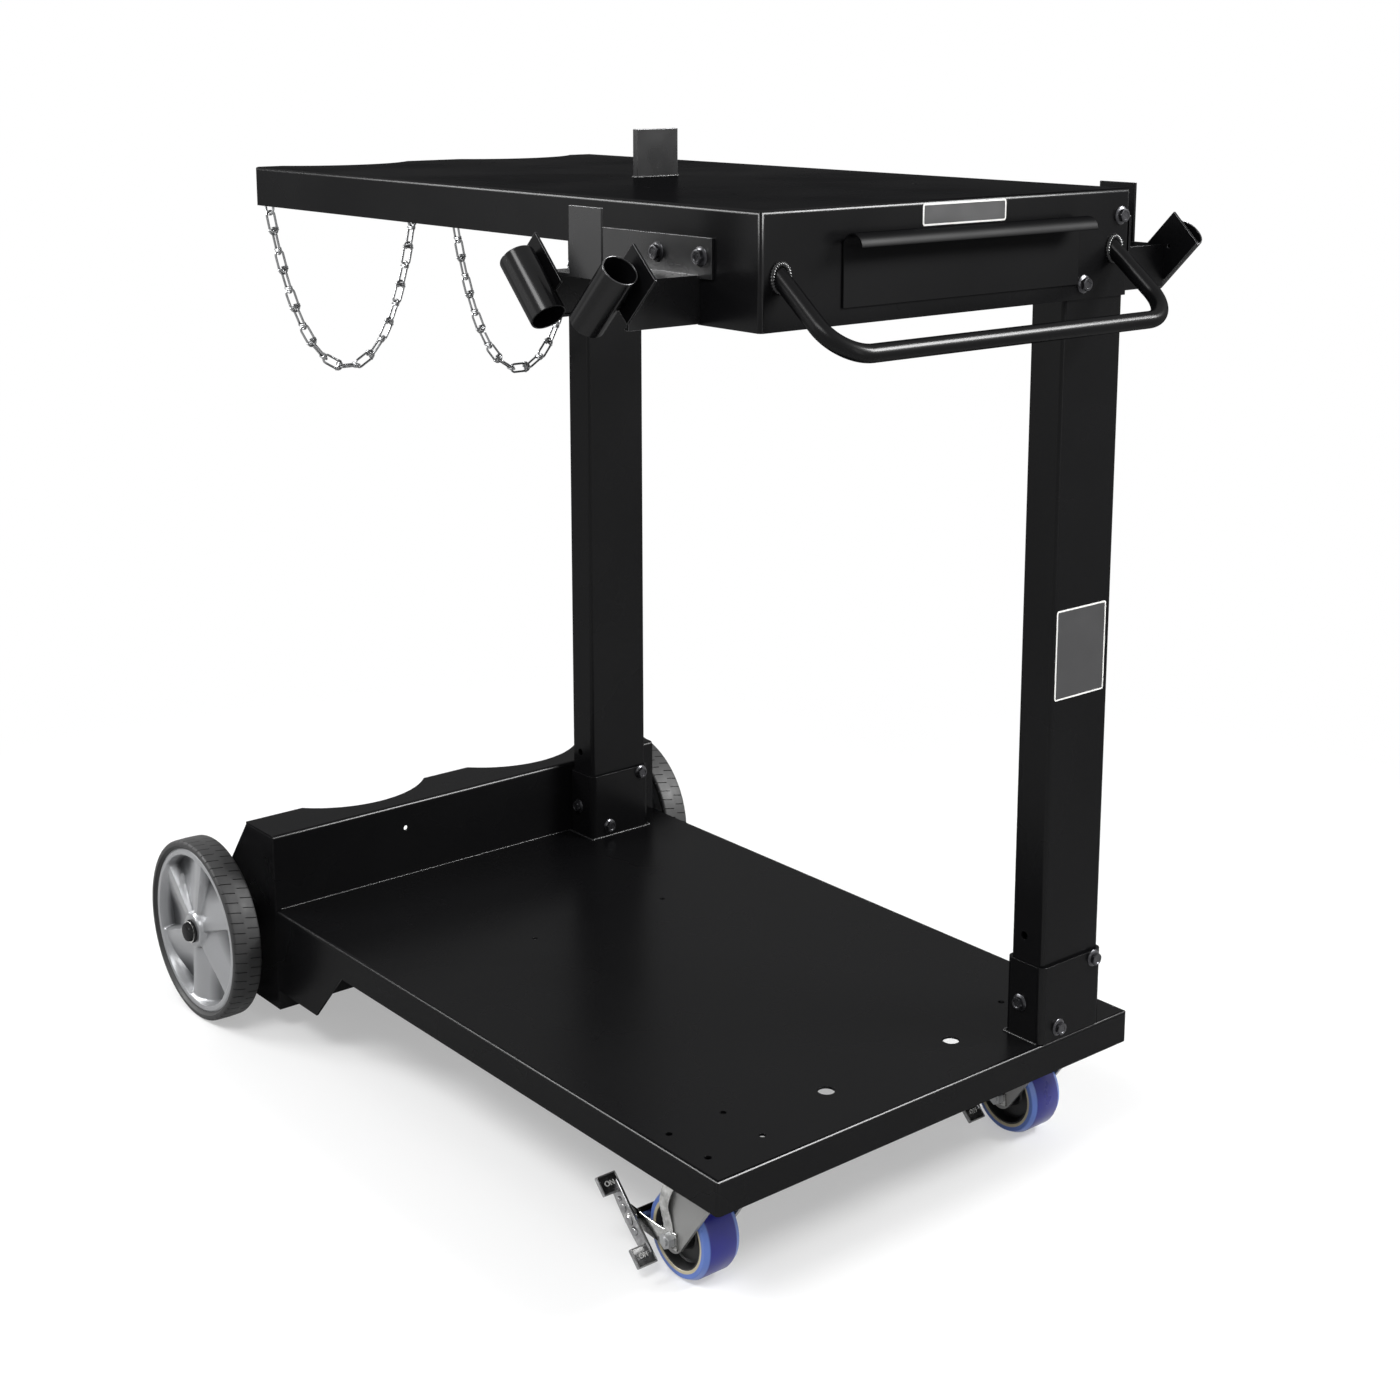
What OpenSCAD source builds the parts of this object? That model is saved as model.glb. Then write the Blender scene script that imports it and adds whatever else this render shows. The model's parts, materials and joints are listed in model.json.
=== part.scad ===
// Welding cart: skirted deck, bottle rack at the rear, two posts, shelf with a drawer.
// Millimetres. X across the cart, -Y is the handle side, +Y the bottle side, Z up, floor at zero.

/* [Deck] */
// Width of the deck
deck_w = 650; // [500:1:800]
// Length of the deck, front skirt to bottle rack
deck_l = 935; // [700:1:1200]
// Height of the deck's top face above the floor
deck_top = 178; // [160:1:260]
// Depth of the deck's skirt
deck_skirt = 40; // [30:1:60]
// Thickness of folded sheet
sheet_t = 3; // [1.5:0.5:5]
// Outside radius of the folds
bend_r = 5; // [3.5:0.5:10]
// Depth of the rear tabs below the skirt
tab_drop = 76; // [40:1:90]
// Length of the flat bottom of each tab
tab_flat = 101; // [40:1:160]
// Length of the slanted edge of each tab
tab_slant = 69; // [30:1:120]
// Diameter of the two large deck holes
deck_hole_d = 20; // [10:1:40]
// Spacing of the two large deck holes
deck_hole_gap = 200; // [100:1:400]
// Distance of the large holes from the deck's front
deck_hole_y = 79; // [40:1:140]
// Diameter of the small fixing holes
fix_hole_d = 7; // [4:0.5:12]
// Distance of the small hole pair from the mid plane
fix_hole_x = 107; // [60:1:200]
// Distance of the small rear hole pair from the deck's front
fix_hole_y = 636; // [300:1:800]
// Depth of the front cross channel
channel_h = 32; // [20:1:40]
// Width of the front cross channel
channel_w = 122; // [110:1:160]
// Open width between the two halves of the front channel
channel_open = 380; // [200:1:400]
// Distance from the deck's front to the front channel
channel_y = 19; // [10:1:60]
// Height of the rear cross channel
rear_channel_h = 71; // [30:1:90]
// Width of the rear cross channel
rear_channel_w = 40; // [25:1:80]
// Distance from the deck's front to the rear channel
rear_channel_y = 800; // [600:1:850]

/* [Bottle rack] */
// Height of the rack's top plate above the deck
rack_h = 106; // [60:1:160]
// Depth of the rack's top plate
rack_d = 77; // [50:1:120]
// Height of the rack's lower edge above the floor
rack_low = 34; // [25:1:80]
// Thickness of the end plates
end_t = 4; // [3:0.5:8]
// Reach of the end plates behind the top plate
end_reach = 93; // [60:1:140]
// Height of the rear edge of the end plates above the floor
end_rear_h = 158; // [140:1:260]
// Thickness of the bottle platform
platform_t = 4; // [3:0.5:8]
// Length of the bottle platform
platform_l = 240; // [150:1:300]
// Height of the lip at the platform's rear
platform_lip = 20; // [8:1:40]
// Width of each bottle cutout at its mouth
cut_w = 200; // [120:1:240]
// Radius of the bottle cutouts
cut_r = 135; // [101:1:180]
// Width of the horn between the two cutouts
horn_w = 76; // [40:1:120]

/* [Rear wheels] */
// Diameter of the rear tyres
tyre_d = 254; // [200:1:300]
// Width of the rear tyres
tyre_w = 41; // [30:1:60]
// Thickness of the tyre, from its seat on the rim to the tread
tyre_t = 12; // [8:0.5:14]
// Diameter of the wheel hub
hub_d = 46; // [36:1:70]
// Outer diameter of the hub bush
bush_d = 26; // [20:0.5:34]
// Diameter of the stub axles
axle_d = 16; // [12:0.5:25]
// Distance of the axle behind the rack's top plate
axle_back = 45; // [10:1:90]
// Gap between end plate and wheel
wheel_gap = 25; // [15:1:50]
// Diameter of the shoulder of the stub axles
shoulder_d = 32; // [24:1:50]
// Side of the square foot of the stub axles
foot_w = 64; // [50:1:90]
// Thickness of the axle foot
foot_t = 5; // [3:0.5:8]
// Radial running clearance in bushes
run_gap = 0.05; // [0.02:0.01:0.1]
// Side clearance of turning parts
side_gap = 0.5; // [0.3:0.1:1.5]
// Diameter of the hub caps
cap_d = 27; // [20:0.5:40]
// Height of the hub caps
cap_h = 9; // [5:0.5:15]
// Thickness of the axle washers
washer_t = 2; // [1:0.5:4]

/* [Posts] */
// Post size across the cart
post_w = 98; // [60:1:120]
// Post size along the cart
post_d = 49; // [40:1:80]
// Wall thickness of the posts
post_t = 3; // [2:0.5:6]
// Wall thickness of the post sockets
socket_t = 4; // [3:0.5:8]
// Height of the post sockets
socket_h = 96; // [60:1:150]
// Thread diameter of the frame bolts
bolt_d = 8; // [6:1:12]
// Width across the flats of the frame bolt heads
bolt_af = 16; // [10:0.5:20]
// Length of the frame bolt shanks
bolt_l = 18; // [16:1:30]
// Diameter of the spare hole in each post
spare_hole_d = 10; // [6:1:16]
// Height of the spare hole above the deck
spare_hole_z = 127; // [110:1:200]

/* [Shelf] */
// Height of the shelf's top face above the deck
shelf_rise = 996; // [700:1:1200]
// Distance of the shelf's side from the deck's side
shelf_in = 52.5; // [30:0.5:90]
// Overhang of the shelf behind the deck
shelf_back = 75; // [40:1:120]
// Depth of the shelf's side skirts
shelf_skirt = 50; // [35:1:70]
// Depth of the shelf's front panel
panel_h = 119; // [100:1:160]
// Depth of the side skirts at the hook arms
mid_skirt = 75; // [72:1:110]
// Length from the front to the end of the middle skirt
mid_skirt_l = 262; // [256:1:400]
// Distance from the deck's front to the first row of shelf holes
hole_row_1 = 202; // [100:1:300]
// Distance from the deck's front to the second row of shelf holes
hole_row_2 = 353; // [310:1:450]
// Distance of the shelf's rear hole pair from the mid plane
hole_pair_x = 24; // [0:1:30]
// Distance from the deck's front to the rear hole pair
hole_pair_y = 907; // [700:1:930]
// Width of the stop tab on the shelf
stop_w = 62; // [30:1:120]
// Height of the stop tab
stop_h = 57; // [20:1:100]
// Depth of the stop tab's flanges
stop_d = 9; // [6:1:20]

/* [Drawer] */
// Width of the drawer tray
drawer_w = 308; // [200:1:320]
// Depth of the drawer tray
drawer_l = 400; // [250:1:500]
// Height of the drawer tray
drawer_h = 62; // [30:1:64]
// Thickness of the drawer's sheet
drawer_t = 2; // [1:0.5:3]
// Width of the drawer's face plate
face_w = 352; // [340:1:360]
// Height of the drawer's face plate
face_h = 76; // [74:1:84]
// Distance from the shelf's top down to the top of the face plate
face_drop = 26; // [18:1:30]
// Offset of the face plate's middle to the right
face_x = 11; // [0:0.5:14]
// Radius of the curled pull
pull_r = 14; // [8:1:20]
// Thickness of the slide strips
strip_t = 2.5; // [1.5:0.5:4]
// Width of the slide strips
strip_w = 12; // [8:1:20]

/* [Handle] */
// Diameter of the handle tube
handle_d = 19; // [16:0.5:32]
// Distance of the handle's legs from the shelf's sides
handle_in = 25.5; // [16:0.5:80]
// Reach of the handle from the front panel
handle_out = 87; // [60:1:140]
// Fall of the handle from its ends to the bar
handle_fall = 68; // [30:1:120]
// Distance from the shelf's top down to the handle's ends
handle_drop = 66; // [50:1:90]
// Bend radius of the handle
handle_r = 42; // [30:1:60]
// Wall thickness of the handle tube
handle_t = 2; // [1.5:0.5:3]

/* [Hook arms] */
// Length of the hook arms, out from the shelf's side
arm_l = 90; // [60:1:140]
// Width of the hook arms
arm_w = 140; // [100:1:180]
// Height of the arm's webs
arm_h = 49; // [30:1:60]
// Distance from the shelf's top down to the arm's top face
arm_drop = 69; // [60:1:74]
// Distance from the deck's front to the middle of the left arm
arm_y = 163; // [140:1:220]
// Height of the arm's flange on the skirt
flange_h = 38; // [30:1:40]
// Length of the arm's flange on the skirt
flange_l = 184; // [150:1:190]
// Width of the cable tongue
tongue_w = 53; // [30:1:80]
// Height of the cable tongue
tongue_h = 68; // [40:1:90]
// Width of the plates behind the torch tubes
plate_w = 48; // [40:1:56]
// Length of these plates along the tubes
plate_l = 64; // [60:1:72]
// Spacing of the plates
plate_gap = 153; // [140:1:180]
// Outer diameter of the torch tubes
torch_d = 38; // [30:0.5:50]
// Bore of the torch tubes
torch_bore = 34; // [25:0.5:46]
// Length of the torch tubes
torch_l = 78; // [50:1:120]
// Spacing of the torch tubes
torch_gap = 119; // [110:1:150]
// Thread diameter of the arm bolts
arm_bolt_d = 8; // [6:1:10]
// Distance of the outer arm bolt from the flange's end
arm_bolt_in = 17; // [12:1:30]
// Spacing of the two arm bolts
arm_bolt_gap = 69; // [50:1:120]

/* [Chains] */
// Wire thickness of the chain links
wire_d = 3.5; // [2:0.1:5]
// Length of one chain link
link_l = 34.8; // [20:0.1:50]
// Width of one chain link
link_w = 15; // [12:0.5:24]
// Clearance between neighbouring links
link_gap = 0.8; // [0.3:0.1:1]
// Curve radius at the lowest point of the right chain
right_sag = 43; // [30:1:60]
// Curve radius at the lowest point of the left chain
left_sag = 46; // [30:1:60]
// Radius of the rings that hold the chains
ring_r = 10; // [8:0.5:16]
// Distance of the ring holes above the skirt's edge
ring_edge = 7; // [5:0.5:10]
// Distance of each chain's middle from the mid plane
chain_x = 142; // [120:1:160]

/* [Casters] */
// Overall height of the casters
caster_h = 143; // [130:1:180]
// Diameter of the caster wheels
roll_d = 101.6; // [75:0.1:127]
// Width of the caster wheels
roll_w = 50; // [30:1:60]
// Diameter of the caster wheel's core
core_d = 84; // [60:1:110]
// Distance of the swivel axis from the deck's side
caster_x = 64; // [58:1:90]
// Distance of the swivel axis from the deck's front
caster_y = 80; // [70:1:110]
// Trail between swivel axis and wheel axle
trail = 36; // [25:1:50]
// Size of the mounting plate across the cart
pad_w = 100; // [80:1:110]
// Size of the mounting plate along the cart
pad_depth = 90; // [70:1:100]
// Thickness of the mounting plate
pad_t = 6; // [4:0.5:8]
// Bolt spacing of the mounting plate across the cart
pad_bx = 76; // [60:1:86]
// Bolt spacing of the mounting plate along the cart
pad_by = 66; // [50:1:76]
// Thread diameter of the caster bolts
pad_bolt_d = 8; // [6:1:10]
// Diameter of the ball race
race_d = 62; // [50:1:70]
// Height of the ball race
race_h = 10; // [6:0.5:14]
// Diameter of the kingpin
king_d = 14; // [10:0.5:20]
// Thickness of the fork
fork_t = 5; // [4:0.5:8]
// Diameter of the caster axle bolts
roll_axle_d = 10; // [8:0.5:14]
// Outer diameter of the caster wheel's sleeve
sleeve_d = 18; // [14:0.5:24]
// Distance of the brake pivot behind the wheel's axle
brake_back = 62; // [60:1:80]
// Length between the brake pads
brake_l = 86; // [60:1:110]
// Width of the brake pads
brake_pad_w = 24; // [16:1:34]
// Thickness of the brake lever
brake_t = 7; // [5:0.5:12]

/* [Hidden] */
$fn = 48;
unit = 1;
eps = unit / 100;
// places along the cart, measured from the deck's front face
rack_back = deck_l + rack_d;
axle_y = rack_back + axle_back;
axle_z = tyre_d / 2;
seat_d = tyre_d - 2 * tyre_t;
panel_y = unit;
panel_in = panel_y + sheet_t;
handle_front = panel_y - handle_out - handle_d / 2;
wheel_rear = axle_y + tyre_d / 2;
shift_y = -(wheel_rear + handle_front) / 2;
// widths
shelf_w = deck_w - 2 * shelf_in;
handle_w = shelf_w - 2 * handle_in;
// heights
shelf_top = deck_top + shelf_rise;
shelf_low = shelf_top - sheet_t;
rack_top = deck_top + rack_h;
deck_low = deck_top - sheet_t;
skirt_z = deck_top - deck_skirt;
shelf_end = deck_l + shelf_back;
shelf_l = shelf_end - panel_y;
// posts
post_right = shelf_w / 2 - sheet_t;
post_x = post_right - post_w / 2;
front_post_y = panel_in;
rear_post_y = deck_l - socket_t - post_d;
post_l = shelf_low - deck_top - (bend_r - sheet_t);
socket_w = post_w + 2 * socket_t;
socket_d = post_d + 2 * socket_t;
hole_gap = unit;
bolt_hole = bolt_d + hole_gap;
nut_gap = unit / 5;
head_share = 0.65;
nut_share = 0.8;
nut_af_share = 1.6;
arm_hole = arm_bolt_d + hole_gap;
// places of the bolts in a post's front face, from its left edge
bolt_in = post_w * 0.28;
bolt_far = post_w * 0.88;
bolt_low = socket_h * 0.16;
bolt_high = socket_h * 0.9;
side_bolt_z = socket_h * 0.46;
side_bolt_y = post_d * 0.6;
top_bolt_z = shelf_top - panel_h * 0.25;
low_bolt_z = shelf_top - panel_h * 0.86;
skirt_bolt_z = shelf_top - shelf_skirt * 0.55;
skirt_bolt_in = post_d * 0.25;
// wheels
wheel_in = deck_w / 2 + wheel_gap;
wheel_mid = wheel_in + tyre_w / 2;
hub_w = tyre_w - 2 * side_gap;
axle_end = wheel_in + tyre_w + washer_t + cap_h;
cap_lip = cap_h * 0.3;
web_w = tyre_w * 0.2;
// drawer
face_top = shelf_top - face_drop;
face_low = face_top - face_h;
face_gap = 0.3 * unit;
face_y = panel_y - face_gap;
tray_mid = -2 * unit;
tray_low = face_low + 8 * unit;
tray_gap = 2 * unit;
ledge_gap = 0.4 * unit;
open_low = tray_low - strip_t - ledge_gap - tray_gap;
open_high = tray_low + drawer_h + tray_gap;
open_w = drawer_w + 2 * tray_gap;
rail_y = panel_in + 2 * unit;
rail_l = drawer_l + 10 * unit;
rail_lip = 14 * unit;
// handle
handle_run = sqrt(handle_out * handle_out + handle_fall * handle_fall);
handle_tilt = atan(handle_fall / handle_out);
handle_top = shelf_top - handle_drop;
// hook arms
arm_top = shelf_top - arm_drop;
arm_x = shelf_w / 2;
arm_end = arm_x + arm_l;
arm_hem = 6 * unit;
return_end = arm_y - arm_w / 2 + sheet_t;
// the right arm is the left one turned half round, its flange starts at the front panel
right_arm_y = panel_y + flange_l / 2;
function side_y(s) = s < 0 ? arm_y : right_arm_y;
function arm_bolt_y(s, i) = side_y(s) + s * (flange_l / 2 - arm_bolt_in - i * arm_bolt_gap);
plate_z = arm_top - 2 * unit;
torch_z = shelf_top - 84 * unit;
torch_x = arm_end + sheet_t + torch_d / 2;
torch_lean = 44;
arm_bolt_z = arm_top + flange_h * 0.5;
// chains: link k from the middle leans as a hanging curve of radius a, and meets the next one
// half a pitch from the middle of each
left_links = 19;
right_links = 21;
pitch = link_l - 2 * wire_d - link_gap;
end_len = (link_l - wire_d) / 2;
function half(n) = (n - 1) / 2;
function lean(k, a) = atan(k * pitch / a);
function run_x(k, a) = k == 0 ? 0 : run_x(k - 1, a) + (cos(lean(k - 1, a)) + cos(lean(k, a))) * pitch / 2;
function run_z(k, a) = k == 0 ? 0 : run_z(k - 1, a) + (sin(lean(k - 1, a)) + sin(lean(k, a))) * pitch / 2;
function end_x(n, a) = run_x(half(n), a) + end_len * cos(lean(half(n), a));
function end_z(n, a) = run_z(half(n), a) + end_len * sin(lean(half(n), a));
chain_y = shelf_end - sheet_t / 2;
ring_z = shelf_top - shelf_skirt + ring_edge - ring_r;
ring_seat = 0.2 * unit;
ring_hole = wire_d + 3 * unit;
ring_hole_z = ring_z + ring_r + (ring_hole - wire_d) / 2 - ring_seat;
hang_z = ring_z - ring_r + wire_d + link_gap;
function ring_places() = [-chain_x - end_x(left_links, left_sag), -chain_x + end_x(left_links, left_sag),
  chain_x - end_x(right_links, right_sag), chain_x + end_x(right_links, right_sag)];
// casters
pad_z = caster_h - pad_t;
race_z = pad_z - race_h;
crown_z = race_z - side_gap - fork_t;
roll_z = roll_d / 2;
leg_in = roll_w / 2 + 2 * unit;
leg_out = leg_in + fork_t;
strap_t = 3 * unit;
strap_out = leg_out + strap_t;
king_head = 5 * unit;
king_rim = 12 * unit;
lever_in = strap_out + side_gap;
lever_out = lever_in + brake_t;
pin_d = 8 * unit;
cam_d = 16.5 * unit;
cam_off = 2.5 * unit;
cam_turn = -14;
lever_tilt = 44;
caster_mid = deck_w / 2 - caster_x;
pad_nut_z = deck_low - channel_h + sheet_t;

// Helpers.
module prism_y(w, l, h, r) {
  translate([-w / 2, 0, 0])
    cube([w, l, h - r]);
  translate([r - w / 2, 0, 0])
    cube([w - 2 * r, l, h]);
  for (s = [-1, 1])
    translate([s * (w / 2 - r), 0, h - r])
      rotate([-90, 0, 0])
        cylinder(r = r, h = l);
}
module prism_x(w, l, h, r) {
  translate([-w / 2, 0, 0])
    cube([w, l, h - r]);
  translate([-w / 2, r, 0])
    cube([w, l - 2 * r, h]);
  for (y = [r, l - r])
    translate([-w / 2, y, h - r])
      rotate([0, 90, 0])
        cylinder(r = r, h = w);
}
module prism_z(w, l, h, r) {
  translate([-w / 2, r, 0])
    cube([w, l - 2 * r, h]);
  translate([r - w / 2, 0, 0])
    cube([w - 2 * r, l, h]);
  for (s = [-1, 1])
    for (y = [r, l - r])
      translate([s * (w / 2 - r), y, 0])
        cylinder(r = r, h = h);
}
module dome_box(w, l, h, r) {
  intersection() {
    prism_y(w, l, h, r);
    prism_x(w, l, h, r);
    prism_z(w, l, h, r);
  }
}
// an open bottomed tray of folded sheet, top face at h
module tray(w, l, h) {
  difference() {
    dome_box(w, l, h, bend_r);
    translate([0, sheet_t, -sheet_t])
      dome_box(w - 2 * sheet_t, l - 2 * sheet_t, h, bend_r - sheet_t);
  }
}
module hex_head(d, af, h) {
  intersection() {
    cylinder(d = af / cos(30), h = h, $fn = 6);
    union() {
      cylinder(d = af / cos(30), h = h * 0.8);
      cylinder(d1 = af * 1.3, d2 = af * 0.95, h = h);
    }
  }
}
// a bolt whose head sits on the plane z = 0 and whose shank runs down
module bolt(d, l, af) {
  hex_head(d, af, d * head_share);
  translate([0, 0, -l])
    cylinder(d = d, h = l + eps);
}
module nut(d, af, h) {
  difference() {
    cylinder(d = af / cos(30), h = h, $fn = 6);
    translate([0, 0, -eps])
      cylinder(d = d + nut_gap, h = h + 2 * eps);
  }
}
module tube_y(x, y, z, d, l) {
  translate([x, y, z])
    rotate([-90, 0, 0])
      cylinder(d = d, h = l);
}
module tube_x(x, y, z, d, l) {
  translate([x, y, z])
    rotate([0, 90, 0])
      cylinder(d = d, h = l);
}
module cart() {
  translate([0, shift_y, 0])
    children();
}

// Base.
module deck() {
  color([0.12, 0.12, 0.13])
    cart()
      difference() {
        union() {
          intersection() {
            translate([0, 0, skirt_z])
              tray(deck_w, deck_l + 2 * bend_r, deck_skirt);
            translate([-deck_w / 2, 0, skirt_z])
              cube([deck_w, deck_l, deck_skirt]);
          }
          for (s = [-1, 1])
            translate([s * (deck_w - sheet_t) / 2 - sheet_t / 2, 0, 0])
              deck_tab();
        }
        for (s = [-1, 1])
          translate([s * deck_hole_gap / 2, deck_hole_y, deck_low - sheet_t])
            cylinder(d = deck_hole_d, h = 3 * sheet_t);
        for (s = [-1, 1])
          translate([s * fix_hole_x, fix_hole_y, deck_low - sheet_t])
            cylinder(d = fix_hole_d, h = 3 * sheet_t);
        deck_bolt_holes(deck_low - sheet_t);
      }
}
// a tab of the side skirt: its edge drops in a slant and runs flat to the rack
module deck_tab() {
  low = skirt_z - tab_drop;
  rotate([90, 0, 90])
    linear_extrude(height = sheet_t)
      polygon([[deck_l, skirt_z + sheet_t], [deck_l, low], [deck_l - tab_flat, low],
        [deck_l - tab_flat - tab_slant, skirt_z], [deck_l - tab_flat - tab_slant, skirt_z + sheet_t]]);
}
// holes over the bolts of the caster plates
module deck_bolt_holes(z) {
  for (s = [-1, 1])
    for (i = [-1, 1])
      for (j = [-1, 1])
        translate([s * caster_mid + i * pad_bx / 2, caster_y + j * pad_by / 2, z])
          cylinder(d = pad_bolt_d, h = 3 * sheet_t);
}
module bottle_cuts(y, z, h) {
  in_y = sqrt(cut_r * cut_r - cut_w * cut_w / 4);
  for (s = [-1, 1])
    translate([s * (cut_w + horn_w) / 2, y + in_y, z])
      cylinder(r = cut_r, h = h, $fn = 96);
}
module bottle_wall() {
  color([0.12, 0.12, 0.13])
    cart()
      difference() {
        translate([0, deck_l, rack_low])
          intersection() {
            prism_x(deck_w, rack_d + 2 * bend_r, rack_top - rack_low, bend_r);
            translate([-deck_w / 2, 0, 0])
              cube([deck_w, rack_d, rack_top - rack_low]);
          }
        translate([0, deck_l + sheet_t, rack_low - sheet_t])
          prism_x(deck_w + 2 * sheet_t, rack_d + 2 * bend_r, rack_top - rack_low, bend_r - sheet_t);
        bottle_cuts(rack_back, rack_top - 2 * sheet_t, 3 * sheet_t);
        tube_y(-deck_w * 0.18, deck_l - sheet_t, deck_top + rack_h * 0.66, fix_hole_d, 3 * sheet_t);
      }
}
module end_plates() {
  y1 = deck_l + sheet_t;
  y2 = rack_back + end_reach;
  z2 = rack_top - sheet_t;
  color([0.12, 0.12, 0.13])
    cart()
      for (s = [-1, 1])
        difference() {
          translate([s * (deck_w - end_t) / 2 - end_t / 2, 0, 0])
            rotate([90, 0, 90])
              linear_extrude(height = end_t)
                polygon([[y1, rack_low], [y2, rack_low], [y2, end_rear_h], [rack_back, z2], [y1, z2]]);
          tube_x(s * (deck_w - end_t) / 2 - end_t, axle_y, axle_z, shoulder_d, 2 * end_t);
        }
}
module bottle_platform() {
  w = deck_w - 2 * end_t;
  color([0.13, 0.13, 0.14])
    cart()
      translate([-w / 2, deck_l + sheet_t, rack_low]) {
        cube([w, platform_l, platform_t]);
        translate([0, platform_l - platform_t, 0])
          cube([w, platform_t, platform_lip]);
      }
}
module stub_axles() {
  color([0.55, 0.55, 0.57])
    cart()
      for (s = [-1, 1])
        translate([s * deck_w / 2, axle_y, axle_z])
          rotate([0, s * 90, 0]) {
            translate([-foot_w / 2, -foot_w / 2, -end_t - foot_t])
              cube([foot_w, foot_w, foot_t]);
            translate([0, 0, -end_t - eps])
              cylinder(d = shoulder_d, h = wheel_gap - side_gap + end_t + eps);
            cylinder(d = axle_d, h = axle_end - deck_w / 2 - cap_lip);
          }
}
module axle_washers() {
  color([0.7, 0.7, 0.72])
    cart()
      for (s = [-1, 1])
        translate([s * (wheel_in + tyre_w), axle_y, axle_z])
          rotate([0, s * 90, 0])
            difference() {
              cylinder(d = cap_d, h = washer_t);
              translate([0, 0, -washer_t])
                cylinder(d = axle_d + nut_gap, h = 3 * washer_t);
            }
}
// domed caps pressed on the ends of the stub axles
module hub_caps() {
  color([0.1, 0.1, 0.1])
    cart()
      for (s = [-1, 1])
        translate([s * (wheel_in + tyre_w + washer_t), axle_y, axle_z])
          rotate([0, s * 90, 0])
            difference() {
              union() {
                cylinder(d = cap_d, h = cap_lip);
                cylinder(d1 = cap_d * 0.86, d2 = cap_d * 0.6, h = cap_h);
              }
              translate([0, 0, -eps])
                cylinder(d = axle_d + nut_gap, h = cap_h - cap_lip + nut_gap);
            }
}
module front_channel() {
  w = deck_w - 4 * sheet_t;
  z = deck_low - channel_h;
  color([0.1, 0.1, 0.11])
    cart()
      difference() {
        translate([-w / 2, channel_y, z])
          cube([w, channel_w, channel_h]);
        translate([-w, channel_y + sheet_t, z + sheet_t])
          cube([2 * w, channel_w - 2 * sheet_t, channel_h]);
        translate([-channel_open / 2, 0, z - sheet_t])
          cube([channel_open, deck_l, channel_h + sheet_t]);
        deck_bolt_holes(z - sheet_t);
      }
}
module rear_channel() {
  w = deck_w - 4 * sheet_t;
  color([0.1, 0.1, 0.11])
    cart()
      difference() {
        translate([-w / 2, rear_channel_y, deck_low - rear_channel_h])
          cube([w, rear_channel_w, rear_channel_h]);
        translate([-w, rear_channel_y + sheet_t, deck_low - rear_channel_h + sheet_t])
          cube([2 * w, rear_channel_w, rear_channel_h - 2 * sheet_t]);
      }
}

// Posts and their sockets.
module at_posts() {
  for (y = [front_post_y, rear_post_y])
    translate([post_x, y, deck_top])
      children();
}
// holes of the frame bolts, seen from a post's front left foot
module socket_bores() {
  x0 = -post_w / 2;
  tube_y(x0 + bolt_in, -2 * socket_t, bolt_low, bolt_hole, 4 * socket_t);
  tube_y(x0 + bolt_far, -2 * socket_t, bolt_high, bolt_hole, 4 * socket_t);
  tube_x(x0 - 2 * socket_t, side_bolt_y, side_bolt_z, bolt_hole, 4 * socket_t);
}
module box_tube(w, d, r, t, h) {
  difference() {
    prism_z(w, d, h, r);
    translate([0, t, -eps])
      prism_z(w - 2 * t, d - 2 * t, h + 2 * eps, r - t);
  }
}
module post_sockets() {
  color([0.12, 0.12, 0.13])
    cart()
      at_posts()
        difference() {
          translate([0, -socket_t, 0])
            box_tube(socket_w, socket_d, bend_r + socket_t, socket_t, socket_h);
          socket_bores();
        }
}
module post(holes_y) {
  difference() {
    box_tube(post_w, post_d, bend_r, post_t, post_l);
    socket_bores();
    tube_x(-post_w / 2 - post_t, side_bolt_y, spare_hole_z, spare_hole_d, 3 * post_t);
    if (holes_y)
      post_top_bores();
    else
      post_side_bores();
  }
}
module post_top_bores() {
  tube_y(bolt_far - post_w / 2, -post_t, top_bolt_z - deck_top, bolt_hole, 3 * post_t);
  tube_y(bolt_in - post_w / 2, -post_t, low_bolt_z - deck_top, bolt_hole, 3 * post_t);
}
module post_side_bores() {
  for (y = [skirt_bolt_in, post_d - skirt_bolt_in])
    tube_x(post_w / 2 - 2 * post_t, y, skirt_bolt_z - deck_top, bolt_hole, 4 * post_t);
}
module rear_post() {
  color([0.12, 0.12, 0.13])
    cart()
      translate([post_x, rear_post_y, deck_top])
        post(false);
}
module front_post() {
  color([0.12, 0.12, 0.13])
    cart()
      translate([post_x, front_post_y, deck_top])
        post(true);
}
// each child is turned so that its z axis leaves the bolted face
module at_frame_bolts(socket_out, panel_out, wall_in) {
  x0 = post_x - post_w / 2;
  for (y = [front_post_y, rear_post_y]) {
    translate([x0 + bolt_in, y - socket_out, deck_top + bolt_low])
      rotate([90, 0, 0])
        children();
    translate([x0 + bolt_far, y - socket_out, deck_top + bolt_high])
      rotate([90, 0, 0])
        children();
    translate([x0 - socket_out, y + side_bolt_y, deck_top + side_bolt_z])
      rotate([0, -90, 0])
        children();
  }
  translate([x0 + bolt_far, front_post_y - panel_out, top_bolt_z])
    rotate([90, 0, 0])
      children();
  translate([x0 + bolt_in, front_post_y - panel_out, low_bolt_z])
    rotate([90, 0, 0])
      children();
  for (y = [skirt_bolt_in, post_d - skirt_bolt_in])
    translate([post_right + wall_in, rear_post_y + y, skirt_bolt_z])
      rotate([0, 90, 0])
        children();
}
module frame_bolts() {
  color([0.2, 0.2, 0.21])
    cart()
      at_frame_bolts(socket_t, sheet_t, sheet_t)
        bolt(bolt_d, bolt_l, bolt_af);
}
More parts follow.
